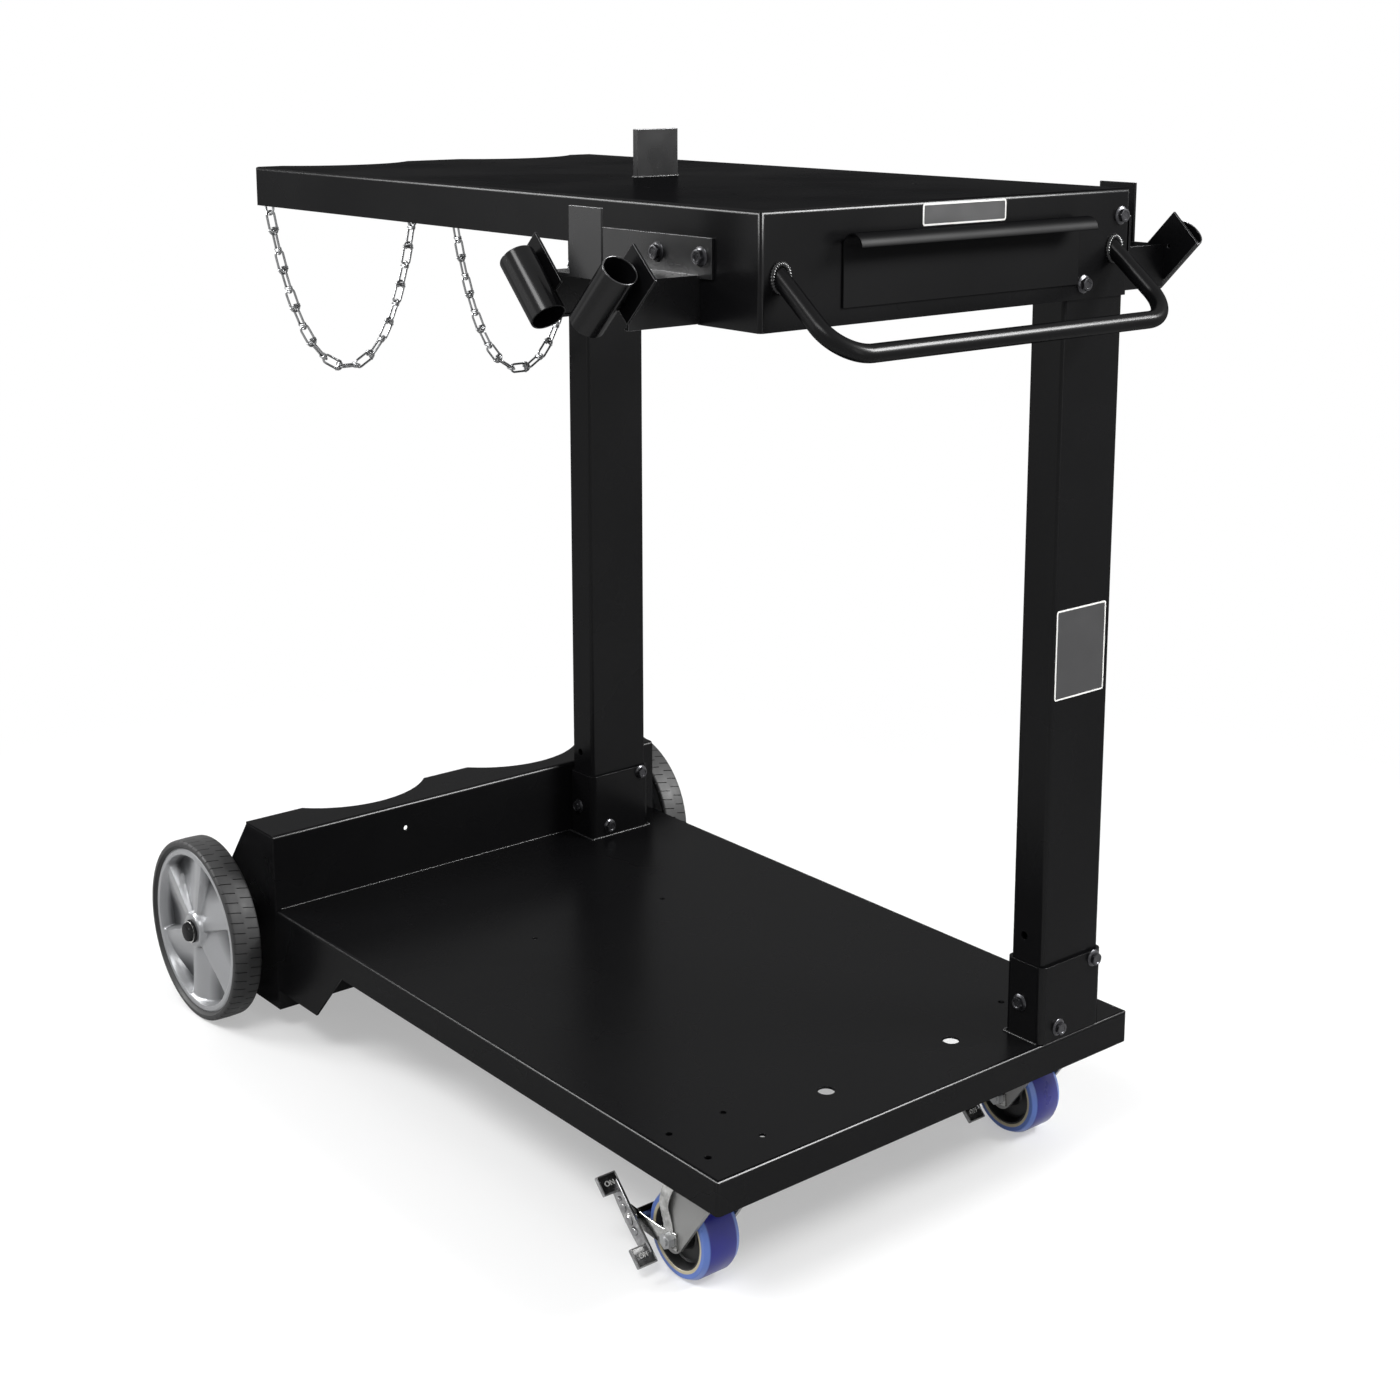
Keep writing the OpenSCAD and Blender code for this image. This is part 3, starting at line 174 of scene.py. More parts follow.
looks = {
    # satin black powder coat on folded steel: deep black, soft sheen, faint orange peel
    "powderCoat": makeMaterial("powderCoatSatin", "#09090a", "#0c0c0d", (0.23, 0.3), blotch=160,
                               grain=5, bump=0.05, specular=0.11, grazing=0.84),
    # the same coat on the drawer's thin face: flatter sheen
    "softCoat": makeMaterial("powderCoatMatt", "#09090a", "#0c0c0d", (0.46, 0.54), blotch=160,
                             grain=5, bump=0.05, specular=0.04, grazing=0.84),
    # the same coat painted lighter on a small plate, a painted highlight for the light it catches
    "paintedLighterCoat": makeMaterial("powderCoatPaintedLighter", "#101011", "#151516", (0.24, 0.32), blotch=60,
                               grain=5, bump=0.05, specular=0.2),
    # the same coat on short tubes: a wet gloss that draws bright lines along them
    "tubeCoat": makeMaterial("powderCoatGloss", "#09090a", "#0c0c0d", (0.15, 0.2), blotch=60,
                             grain=5, bump=0.04, specular=0.22, grazing=0.9),
    # the same coat over a weld: glossier, it pools on the ripples
    "weldCoat": makeMaterial("powderCoatOverWeld", "#0e0e0f", "#141415", (0.22, 0.3), blotch=9,
                             grain=3, bump=0.15, specular=0.3),
    # the cut edge of a tube or a tongue, painted as pale metal: a painted highlight along the edges
    "edgeHighlight": makeMaterial("paintedEdgeHighlight", "#2c2c2d", "#4a4a4b", (0.22, 0.3), metallic=0.8,
                             blotch=12, grain=2, bump=0.1),
    # black zinc flange bolts: darker metal, sharper glints than the paint
    "blackZinc": makeMaterial("blackZincPlated", "#242426", "#363639", (0.2, 0.32), metallic=0.7,
                              blotch=8, grain=1.5, bump=0.2),
    # zinc plated steel: pale grey, slightly cloudy
    "zinc": makeMaterial("zincPlatedSteel", "#8f9091", "#a4a5a6", (0.32, 0.45), metallic=0.9,
                         blotch=14, grain=1.2, bump=0.15),
    # bright zinc on drawn wire: near white glints, dark between
    "wire": makeMaterial("brightZincWire", "#68696a", "#969798", (0.2, 0.34), metallic=1.0,
                         blotch=9, grain=1.0, bump=0.2),
    # injection moulded nylon with a silver pigment: soft grey, even sheen
    # the deepest parts of its pockets are painted dark, a painted shade in the recesses; its blades and ring
    # keep the nylon's own lighter grey
    "nylon": makeMaterial("mouldedSilverNylon", "#3a3b3d", "#444547", (0.28, 0.38), metallic=0.5,
                          blotch=40, grain=1.5, bump=0.08,
                          paintedLightZones={"plane": 370.0, "near": 2.0, "far": 8.0, "color": "#848587"}),
    # vulcanised rubber: charcoal, matt, a little dusty
    "rubber": makeMaterial("vulcanisedRubber", "#191919", "#232324", (0.55, 0.7), blotch=30,
                           grain=1.5, bump=0.2, specular=0.3),
    # black ABS push cap: glossy
    "cap": makeMaterial("glossBlackAbs", "#0b0b0c", "#101011", (0.14, 0.2), blotch=10, grain=2,
                        bump=0.05, specular=0.2, grazing=0.9),
    # cast polyurethane: saturated blue, glassy skin
    # its chamfers are painted paler, a painted highlight where they catch the bright surroundings
    "polyurethane": makeMaterial("castPolyurethaneBlue", "#14176a", "#1b1e7a", (0.26, 0.36),
                                 blotch=25, grain=2, bump=0.08, specular=0.35,
                                 paintedLightZones={"plane": 261.0, "near": 18.0, "far": 19.6, "color": "#5570b4"}),
    # polyolefin core: cream, waxy
    "cream": makeMaterial("mouldedCreamPolyolefin", "#a89f84", "#b8af94", (0.42, 0.52), blotch=20,
                          grain=2, bump=0.08),
    # trivalent zinc on pressed sheet: flat grey satin
    "satinZinc": makeMaterial("satinZincSheet", "#7d7d7c", "#8b8b8a", (0.42, 0.52), metallic=0.75,
                              blotch=25, grain=1.2, bump=0.12),
    # bright chromate on pressed steel: mirror like with soft waves
    "chromate": makeMaterial("brightChromateSteel", "#4a4a49", "#cfcfcd", (0.08, 0.2), metallic=1.0,
                             blotch=8, grain=5, bump=0.45),
    # dark phosphate on pressed steel levers
    "gunmetal": makeMaterial("phosphatedSteel", "#3c3c3d", "#b4b4b5", (0.12, 0.28), metallic=0.95,
                             blotch=6, grain=3.5, bump=0.4),
    # acetal strip: off white, waxy
    "acetal": makeMaterial("mouldedAcetal", "#c3c3bb", "#cdcdc6", (0.45, 0.55), blotch=20, grain=2,
                           bump=0.05),
    # blank vinyl label: pale satin border round a dark grey field
    "vinyl": makeMaterial("paleVinyl", "#dcdbd8", "#e4e3e0", (0.36, 0.42), blotch=30, grain=1.5,
                          bump=0.04),
    "darkVinyl": makeMaterial("darkGreyVinyl", "#2b2b2c", "#313132", (0.34, 0.42), blotch=30, grain=1.5,
                              bump=0.04, specular=0.3),
    # the raised letters of the switch pads, painted pale: a painted highlight standing in for the glint of
    # their bright metal
    "letterEnamel": makeMaterial("paleEnamel", "#b4b4b2", "#c0c0be", (0.3, 0.4), blotch=8, grain=1.5,
                                 bump=0.04),
    # hub of the caster wheel, inside the cream ring: coloured near black, satin
    "hubBlack": makeMaterial("casterHubNearBlack", "#101011", "#171718", (0.38, 0.5), blotch=20,
                             grain=2, bump=0.08, specular=0.35),
}
slotLooks = {
    "black_powder_coat": "powderCoat", "black_oxide_bolts": "blackZinc", "zinc_plate": "zinc",
    "black_cap": "cap", "slide_plastic": "acetal", "grey_rim": "nylon", "tyre_rubber": "rubber",
    "bush_plastic": "cap", "bright_chain": "wire", "satin_zinc": "satinZinc", "cream_core": "cream",
    "blue_tread": "polyurethane", "bright_steel": "chromate",
}
nodeSlots = {p["node"]: p["material_slot"] for p in frame["record"]["subparts"]}
for node, thing in frame["nodes"].items():
    thing.data.materials.clear()
    thing.data.materials.append(looks[slotLooks[nodeSlots[node]]])
print("materials made:", len(looks))


# A surface on a grid of points (rows, columns, 3): each cell is one quad, and a closed direction wraps
def gridSurface(points, closeRows=False, closeColumns=False):
    rows, columns = points.shape[:2]
    i = np.arange(rows if closeRows else rows - 1)[:, None]
    j = np.arange(columns if closeColumns else columns - 1)[None, :]
    a, b = i * columns + j, i * columns + (j + 1) % columns
    c, d = ((i + 1) % rows) * columns + (j + 1) % columns, ((i + 1) % rows) * columns + j
    return points.reshape(-1, 3), np.stack([a, b, c, d], -1).reshape(-1, 4)


# Several surfaces as one: the faces of each count from where the last one's points end
def joined(*surfaces):
    starts = np.cumsum([0] + [len(s[0]) for s in surfaces[:-1]])
    return (np.concatenate([s[0] for s in surfaces]),
            np.concatenate([s[1] + start for s, start in zip(surfaces, starts)]))


# A surface moved to a place
def placed(surface, place):
    return surface[0] + np.array(place), surface[1]


# Puts a surface into a mesh, merges its poles and seams, turns its faces outward, smooths it
def addPiece(name, surface, body, look, replaced=(), smoothAngle=35, bevel=0.0):
    mesh = bpy.data.meshes.new(name)
    mesh.from_pydata(surface[0].tolist(), [], surface[1].tolist())
    work = bmesh.new()
    work.from_mesh(mesh)
    bmesh.ops.remove_doubles(work, verts=work.verts, dist=0.00001)
    bmesh.ops.recalc_face_normals(work, faces=work.faces)
    work.to_mesh(mesh)
    work.free()
    return finishPiece(name, mesh, body, look, replaced, smoothAngle, bevel)


def finishPiece(name, mesh, body, look, replaced, smoothAngle, bevel, edgeHighlightLook=None):
    mesh.materials.clear()
    mesh.materials.append(looks[look])
    if edgeHighlightLook:
        mesh.materials.append(looks[edgeHighlightLook])
    mesh.shade_smooth()
    if bevel == 0:
        mesh.set_sharp_from_angle(angle=math.radians(smoothAngle))
    piece = bpy.data.objects.new(name, mesh)
    bpy.context.scene.collection.objects.link(piece)
    if bevel > 0:
        edge = piece.modifiers.new("edge", "BEVEL")
        edge.width, edge.segments, edge.limit_method = bevel * mm, 2, "ANGLE"
        edge.angle_limit = math.radians(smoothAngle)
        # the bevel's faces take the edge look, a painted highlight along the edges
        edge.material = 1 if edgeHighlightLook else -1
        piece.modifiers.new("normals", "WEIGHTED_NORMAL")
    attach(piece, body)
    if replaced:
        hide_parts(*replaced)
    return piece


# The CAD solid of a node with the thin rounded edge that paint gives to cut sheet
def roundEdges(node, bevel, edgeHighlightLook=None, smoothAngle=50, look=None):
    source = frame["nodes"][node]
    mesh = source.data.copy()
    if "custom_normal" in mesh.attributes:
        mesh.attributes.remove(mesh.attributes["custom_normal"])
    work = bmesh.new()
    work.from_mesh(mesh)
    bmesh.ops.remove_doubles(work, verts=work.verts, dist=0.000005)
    bmesh.ops.dissolve_limit(work, angle_limit=math.radians(0.5), verts=work.verts, edges=work.edges)
    work.to_mesh(mesh)
    work.free()
    return finishPiece(node + "_painted", mesh, source["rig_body"], look or slotLooks[nodeSlots[node]],
                       (node,), smoothAngle, bevel, edgeHighlightLook)


# A profile of (radius, height) points turned about Z: x = r cos a, y = r sin a, z = height
def turned(profile, steps=64, bend=None):
    angle = np.linspace(0, 2 * math.pi, steps, endpoint=False)[:, None]
    r, h = np.array(profile, float).T * mm
    r = np.broadcast_to(r, (steps, len(r)))
    h = np.broadcast_to(h, (steps, h.shape[-1]))
    if bend is not None:
        r, h = bend(angle, r, h)
    return gridSurface(np.stack([r * np.cos(angle), r * np.sin(angle), h], -1), closeRows=True)


# A closed profile of (radius, height) points carried round Z, closed on itself in both directions
def ringOf(profile, steps):
    angle = np.linspace(0, 2 * math.pi, steps, endpoint=False)[:, None]
    r, h = np.array(profile, float).T * mm
    return gridSurface(np.stack([r * np.cos(angle), r * np.sin(angle), h + 0 * angle], -1), True, True)


# Turns a surface made about Z to stand along another axis
def turnedTo(surface, axis, roll=0.0):
    z = np.array(axis, float) / np.linalg.norm(axis)
    x = np.cross([0, 0, 1], z) if abs(z[2]) < 0.9 else np.array([1.0, 0, 0])
    x = x / np.linalg.norm(x)
    y = np.cross(z, x)
    c, s = math.cos(roll), math.sin(roll)
    p = surface[0] @ np.array([[c, s, 0], [-s, c, 0], [0, 0, 1]])
    return p[:, :1] * x + p[:, 1:2] * y + p[:, 2:] * z, surface[1]


# A profile (u, v) carried along a path: point = path + u side + v normal, side = tangent x up
def swept(path, up, profile, closed=False, size=None):
    path = np.array(path, float)
    if closed:
        tangent = np.roll(path, -1, 0) - np.roll(path, 1, 0)
    else:
        tangent = np.gradient(path, axis=0)
    tangent /= np.linalg.norm(tangent, axis=1)[:, None]
    side = np.cross(tangent, up)
    side /= np.linalg.norm(side, axis=1)[:, None]
    normal = np.cross(side, tangent)
    size = np.ones(len(path)) if size is None else size
    u, v = np.array(profile, float).T
    points = (path[:, None] + (u * size[:, None])[..., None] * side[:, None]
              + (v * size[:, None])[..., None] * normal[:, None])
    if not closed:  # the end rows shrink to a point, which closes the ends
        first, last = path[:1, None] + 0 * points[:1], path[-1:, None] + 0 * points[-1:]
        points = np.concatenate([first, points, last])
    return gridSurface(points, closeRows=closed, closeColumns=True)


def circle(radius, steps=12):
    a = np.linspace(0, 2 * math.pi, steps, endpoint=False)
    return np.stack([np.cos(a), np.sin(a)], -1) * radius * mm


# A rounded rectangle: quarter circles of the corner radius, one at each corner
def roundBar(width, height, radius, steps=4):
    a = np.linspace(0, math.pi / 2, steps)[None, :] + np.arange(4)[:, None] * math.pi / 2
    cx = (width / 2 - radius) * np.array([1, -1, -1, 1])[:, None]
    cy = (height / 2 - radius) * np.array([1, 1, -1, -1])[:, None]
    return np.stack([cx + radius * np.cos(a), cy + radius * np.sin(a)], -1).reshape(-1, 2) * mm


# A polyline with more points on it, evenly spaced
def resampled(points, count):
    points = np.array(points, float)
    run = np.concatenate([[0], np.cumsum(np.linalg.norm(np.diff(points, axis=0), axis=1))])
    at = np.linspace(0, run[-1], count)
    return np.stack([np.interp(at, run, points[:, k]) for k in range(3)], -1)


# Smooths a path's corners by averaging each point with its neighbours some times
def eased(path, times):
    for _ in range(times):
        path = np.concatenate([path[:1], (path[:-2] + 2 * path[1:-1] + path[2:]) / 4, path[-1:]])
    return path


# Painted sheet and tube of the cart; small cut plates get a painted highlight along their edges
for node in ["deck", "bottle_wall", "end_plates", "post_sockets", "shelf", "drawer_tray",
             "bottle_platform", "front_channel", "rear_channel"]:
    roundEdges(node, 0.7)
roundEdges("torch_tubes", 0.7, look="tubeCoat")
for node in ["right_hook_arm", "torch_plates"]:
    roundEdges(node, 0.6, "edgeHighlight")
# the left hook arm and the shelf stop take the coat painted lighter, a painted highlight
for node in ["left_hook_arm", "shelf_stop"]:
    roundEdges(node, 0.6, "edgeHighlight", look="paintedLighterCoat")
roundEdges("drawer_face", 0.6, look="softCoat")
for node in ["rear_post", "front_post", "handle"]:
    roundEdges(node, 0.5)
for node in ["drawer_rails", "caster_plates", "left_fork", "right_fork", "stub_axles",
             "axle_washers", "chain_rings"]:
    roundEdges(node, 0.4)
print("painted sheet done")

# Flange bolts: a hexagon with a chamfered top on a thin round flange, r = the smaller of profile and
# hexagon above the lip; the hexagon's r is half its width across flats over the cosine of the angle
# from the middle of a flat
boltSet = {"shank": 4.0, "length": 18.0, "flange": 10.2, "flat": 6.9, "height": 6.6, "lip": 1.5}


def flangeBolt(b):
    profile = [(0, -b["length"]), (b["shank"], -b["length"]), (b["shank"], 0), (b["flange"], 0),
               (b["flange"] + 0.1, 0.5), (b["flange"] - 0.4, 1.0), (b["flat"] * 1.12, b["lip"] + 0.6),
               (b["flat"] * 1.12, b["lip"] + 0.8), (b["flat"] * 1.14, b["height"] - 1.2),
               (b["flat"] * 1.02, b["height"] - 0.2), (b["flat"] * 0.9, b["height"]),
               (b["flat"] * 0.72, b["height"]), (b["flat"] * 0.62, b["height"] - 0.6),
               (0, b["height"] - 0.7)]

    def bend(angle, r, h):
        wedge = (angle + math.pi / 6) % (math.pi / 3) - math.pi / 6
        hexagon = b["flat"] * mm / np.cos(wedge)
        return np.where(h > (b["lip"] + 0.5) * mm, np.minimum(r, hexagon), r), h
    return turned(profile, 72, bend)


# Where each frame bolt sits: place of the head's seat and the way it points. Distances along the cart
# in mm, the rest in metres.
postSet = {"left": 0.1715, "near": 0.02744, "far": 0.08624, "sideIn": 29.4, "sheet": 0.004,
           "starts": ((4, 0), (882, 878)),   # of each post and of its socket
           "socketZ": (0.19336, 0.2644, 0.22216),
           "panelY": 1, "panelZ": (1.14425, 1.07166),
           "skirtX": 0.2725, "skirtZ": 1.1465, "skirtY": (894.25, 918.75)}
nearX, farX = postSet["left"] + postSet["near"], postSet["left"] + postSet["far"]
frameBolts = []
for post, socket in postSet["starts"]:
    lowZ, highZ, sideZ = postSet["socketZ"]
    frameBolts += [((nearX, along(socket), lowZ), (0, -1, 0)), ((farX, along(socket), highZ), (0, -1, 0)),
                   ((postSet["left"] - postSet["sheet"], along(post + postSet["sideIn"]), sideZ), (-1, 0, 0))]
frameBolts += [((x, along(postSet["panelY"]), z), (0, -1, 0))
               for x, z in zip((farX, nearX), postSet["panelZ"])]
frameBolts += [((postSet["skirtX"], along(y), postSet["skirtZ"]), (1, 0, 0)) for y in postSet["skirtY"]]
# hook arms: the right one is the left one turned half round, and it sits further forward
armSet = {"middles": {-1: 163, 1: 93}, "bolts": (75, 6), "boltX": 0.2755, "boltZ": 1.124,
          "tubeOut": 59.5, "tubeX": 0.3845, "tubeZ": 1.09, "plateX": 0.3668, "lean": math.radians(44)}
armBolts = [((side * armSet["boltX"], along(armSet["middles"][side] + side * out), armSet["boltZ"]),
             (side, 0, 0)) for side in (-1, 1) for out in armSet["bolts"]]
rolls = np.random.default_rng(5).uniform(0, 1, 40)
for name, node, seats, first in (("frameBolts", "frame_bolts", frameBolts, 0),
                                 ("armBolts", "arm_bolts", armBolts, 12)):
    addPiece(name, joined(*[placed(turnedTo(flangeBolt(boltSet), way, rolls[k + first]), spot)
                            for k, (spot, way) in enumerate(seats)]),
             "frame", "blackZinc", [node])
print("bolts done")


# Weld beads: a round cord half sunk in the corner, its radius rippled as the pool froze
def weldBead(path, radius, up=(0, 0, 1), closed=False, pitch=2.6):
    path = np.array(path, float)
    step = np.linalg.norm(np.diff(path, axis=0), axis=1).mean() / mm
    size = 1 + 0.16 * np.sin(np.arange(len(path)) * step * 2 * math.pi / pitch)
    return swept(path, up, circle(radius, 10), closed, size)


def ellipsePath(centre, radiusX, radiusZ, count):
    a = np.linspace(0, 2 * math.pi, count, endpoint=False)
    return np.stack([centre[0] + radiusX * mm * np.cos(a), centre[1] + 0 * a,
                     centre[2] + radiusZ * mm * np.sin(a)], -1)


# Middle of a torch tube, its own direction, and the direction across it along the plate
def tubeFrame(a, side, end, x):
    centre = np.array([side * x, along(a["middles"][side] + end * a["tubeOut"]), a["tubeZ"]])
    run = np.array([0, end * math.sin(a["lean"]), math.cos(a["lean"])])
    return centre, run, np.array([0, run[2], -run[1]])


# Each bead's radius is in mm, and so are distances along the cart. An open bead goes round three sides:
# left, right, where it starts along the cart, where it turns, height, points, radius.
weldSet = {
    "rounds": [(0.1675, 0.2735, 6, 57, 0.178, 330, 2.0), (0.1675, 0.2735, 934, 878, 0.178, 330, 2.0)],
    "handle": {"x": 0.247, "y": 0.6, "z": 1.108, "radiusX": 10.8, "radiusZ": 13.4, "radius": 3.0},
    "stop": (-0.0315, 0.0315, 513, 504, 1.174, 160, 1.4),
    "rack": {"from": -0.318, "to": 0.165, "y": 934.5, "z": 0.1785, "radius": 1.3},
    "tube": {"aside": 6.5, "under": 10.0, "over": 37.0, "radius": 1.5},
}


def roundBead(left, right, start, turn, z, count, radius):
    corners = [(left, along(start), z), (left, along(turn), z), (right, along(turn), z),
               (right, along(start), z)]
    return weldBead(resampled(corners, count), radius)


beads = [roundBead(*row) for row in weldSet["rounds"]]
weld = weldSet["handle"]
beads += [weldBead(ellipsePath((side * weld["x"], along(weld["y"]), weld["z"]), weld["radiusX"],
                               weld["radiusZ"], 150), weld["radius"], (0, 1, 0), True)
          for side in (-1, 1)]
beads.append(roundBead(*weldSet["stop"]))
weld = weldSet["rack"]
beads.append(weldBead(resampled([(x, along(weld["y"]), weld["z"]) for x in (weld["from"], weld["to"])], 800),
                      weld["radius"]))
# thin rings in the pale edge metal at the mouths of the torch tubes, a painted highlight on their rims
mouthHighlightSet = {"tubeR": 18.0, "tubeHalf": 39.0, "wire": 0.7}
mouthHighlights = []
weld = weldSet["tube"]
for side in (-1, 1):
    for end in (-1, 1):
        centre, run, across = tubeFrame(armSet, side, end, armSet["plateX"])
        for edge in (-1, 1):
            root = centre + across * edge * weld["aside"] * mm
            line = [root - run * weld["under"] * mm, root + run * weld["over"] * mm]
            beads.append(weldBead(resampled(line, 90), weld["radius"], (1, 0, 0)))
        centre, run, across = tubeFrame(armSet, side, end, armSet["tubeX"])
        a = np.linspace(0, 2 * math.pi, 64, endpoint=False)[:, None]
        rim = (np.array([1.0, 0, 0]) * np.cos(a) + across * np.sin(a)) * mouthHighlightSet["tubeR"] * mm
        mouthHighlights.append(swept(centre + run * mouthHighlightSet["tubeHalf"] * mm + rim, run,
                            circle(mouthHighlightSet["wire"], 8), True))
addPiece("weldBeads", joined(*beads), "frame", "weldCoat", smoothAngle=80)
addPiece("tubeMouthHighlights", joined(*mouthHighlights), "frame", "edgeHighlight", smoothAngle=80)
print("weld beads done")

# Chains: oval wire links along a hanging curve, each knotted round its own neck at one end
chainSet = {"wire": 3.5, "length": 34.8, "width": 15.0, "gap": 0.8, "middleX": 142.0,
            "planeY": 1008.5, "hangZ": 1115.3, "sags": {"left": 46.0, "right": 43.0},
            "links": {"left": 19, "right": 21},
            # the knot's place from the link's end, its length and its radius; how far a link may twist
            "knotIn": 8.2, "knotLength": 3.4, "knotR": 2.9, "twist": 0.1, "twistStep": 2.3}


# An oval: half circles joined by straights, as points (x, z) at even steps of arc length
def ovalPath(length, width, count):
    r = width / 2
    flat = length - width
    total = 2 * flat + 2 * math.pi * r
    s = np.linspace(0, total, count, endpoint=False)
    right = (s - flat) / r
    left = (s - 2 * flat - math.pi * r) / r
    x = np.select([s < flat, s < flat + math.pi * r, s < 2 * flat + math.pi * r],
                  [s - flat / 2, flat / 2 + r * np.sin(right), flat / 2 - (s - flat - math.pi * r)],
                  -flat / 2 - r * np.sin(left))
    z = np.select([s < flat, s < flat + math.pi * r, s < 2 * flat + math.pi * r],
                  [0 * s - r, -r * np.cos(right), 0 * s + r], r * np.cos(left))
    return np.stack([x, 0 * x, z], -1) * mm


def chainLink(c):
    body = swept(ovalPath(c["length"] - c["wire"], c["width"] - c["wire"], 52), (0, 1, 0),
                 circle(c["wire"] / 2 * 0.92, 10), True)
    # the knot: one and a half turns of wire about the neck, a flat helix round the two strands
    a = np.linspace(0, 3 * math.pi, 40)
    half = c["width"] / 2 - c["wire"] * 0.15
    knot = np.stack([(c["length"] / 2 - c["knotIn"]) + (a / a[-1] - 0.5) * c["knotLength"],
                     c["knotR"] * np.cos(a), half * 0.98 * np.sin(a)], -1) * mm
    return joined(body, swept(knot, (1, 0, 0), circle(c["wire"] / 2 * 0.8, 8)))


# Link k from the middle leans by atan(k pitch / sag), and neighbours meet half a pitch from the middle
# of each; every other link is turned by 90 degrees
def chainSurface(c, side, name):
    pitch = c["length"] - 2 * c["wire"] - c["gap"]
    count = c["links"][name]
    lean = np.arctan((np.arange(count) - (count - 1) / 2) * pitch / c["sags"][name])
    x = np.concatenate([[0], np.cumsum(np.cos(lean[:-1]) + np.cos(lean[1:]))]) * pitch / 2
    z = np.concatenate([[0], np.cumsum(np.sin(lean[:-1]) + np.sin(lean[1:]))]) * pitch / 2
    x = x - x[-1] / 2 + side * c["middleX"]
    z = z + c["hangZ"] - z[-1] - (c["length"] - c["wire"]) / 2 * math.sin(lean[-1])
    link = chainLink(c)
    parts = []
    for k in range(count):
        turn = (k % 2) * math.pi / 2 + c["twist"] * math.sin(k * c["twistStep"] + side)
        ct, st = math.cos(lean[k]), math.sin(lean[k])
        cr, sr = math.cos(turn), math.sin(turn)
        p = link[0] @ np.array([[1, 0, 0], [0, cr, sr], [0, -sr, cr]])
        p = p @ np.array([[ct, 0, st], [0, 1, 0], [-st, 0, ct]])
        parts.append((p + np.array([x[k] * mm, along(c["planeY"]), z[k] * mm]), link[1]))
    return joined(*parts)


for side, name in ((-1, "left"), (1, "right")):
    addPiece(name + "ChainLinks", chainSurface(chainSet, side, name), name + "_chain_body", "wire",
             [name + "_chain"], smoothAngle=80)
print("chains done")

# Rear wheels, made about Z with the outer face up and then laid along X. In mm, apart from y in metres,
# blade as a share of the radius, before as a share of one rib's part of the circle, roll in radians,
# slitHalf as a share of the slits' pitch and twist in radians per mm.
wheelSet = {"x": 370.5, "y": along(1057), "z": 127.0, "tyreR": 127.0, "tyreW": 41.0, "seatR": 115.0,
            "boreR": 13.0, "hubR": 22.0, "hubTop": 20.0, "ribs": 6, "ribTop": 15.5, "ribDrop": 2.5,
            "floorHub": 10.5, "floorRim": -1.0, "pocketR": 105.0, "ringTop": 17.5, "chamfer": 2.5,
            "steep": 5.0, "blade": 0.7, "before": 0.2, "roll": 0.35,
            "slits": 57, "slitDepth": 1.82, "slitHalf": 0.022, "twist": 0.0016,
            "capX": 393.0}


def smoothStep(t):
    t = np.clip(t, 0, 1)
    return t * t * (3 - 2 * t)


# Rim face: height(r, a) = rib height near a rib, sinking steeply on one side and gently, as a blade,
# on the other to the pocket's sloping floor, and rising again over the pocket's end to the ring
def rimSurface(w):
    angle = np.linspace(0, 2 * math.pi, 360, endpoint=False)[:, None]
    r = np.concatenate([np.linspace(w["boreR"], w["hubR"], 4),
                        np.linspace(w["hubR"] + 0.8, w["pocketR"] + 4, 70),
                        np.linspace(w["pocketR"] + 5, w["seatR"], 8)])[None, :]
    slot = 2 * math.pi / w["ribs"]
    before = slot * w["before"]
    off = (angle + before) % slot - before
    across = r * np.sin(off)
    half = 1.6 + 2.2 * r / w["seatR"]
    flank = np.where(across < 0, w["steep"], w["blade"] * r)
    away = smoothStep((np.abs(across) - half) / flank)
    out = smoothStep((r - w["hubR"]) / (w["pocketR"] - w["hubR"]))
    floor = w["floorHub"] + (w["floorRim"] - w["floorHub"]) * out
    rib = w["ribTop"] - w["ribDrop"] * out
    face = rib * (1 - away) + floor * away
    ring = smoothStep((r - w["pocketR"] + 4) / 6)
    hub = 1 - smoothStep((r - w["hubR"]) / 5)
    top = face * (1 - ring) + w["ringTop"] * ring
    top = top * (1 - hub) + w["hubTop"] * hub
    edge = w["seatR"] - w["chamfer"]
    top = np.where(r > edge, w["ringTop"] - (r - edge) * 0.6, top)
    points = np.stack([r * np.cos(angle), r * np.sin(angle), top], -1)
    back = [(w["seatR"], -16.0), (w["seatR"] - 3, -w["ringTop"]), (w["seatR"] - 14, -w["ringTop"]),
            (w["seatR"] - 18, -6.0), (w["hubR"] + 6, -4.0), (w["hubR"], -w["hubTop"]),
            (w["boreR"], -w["hubTop"])]
    rb, hb = np.array(back).T
    rear = np.stack([rb * np.cos(angle), rb * np.sin(angle), hb + 0 * angle], -1)
    return gridSurface(np.concatenate([points, rear], 1) * mm, True, True)


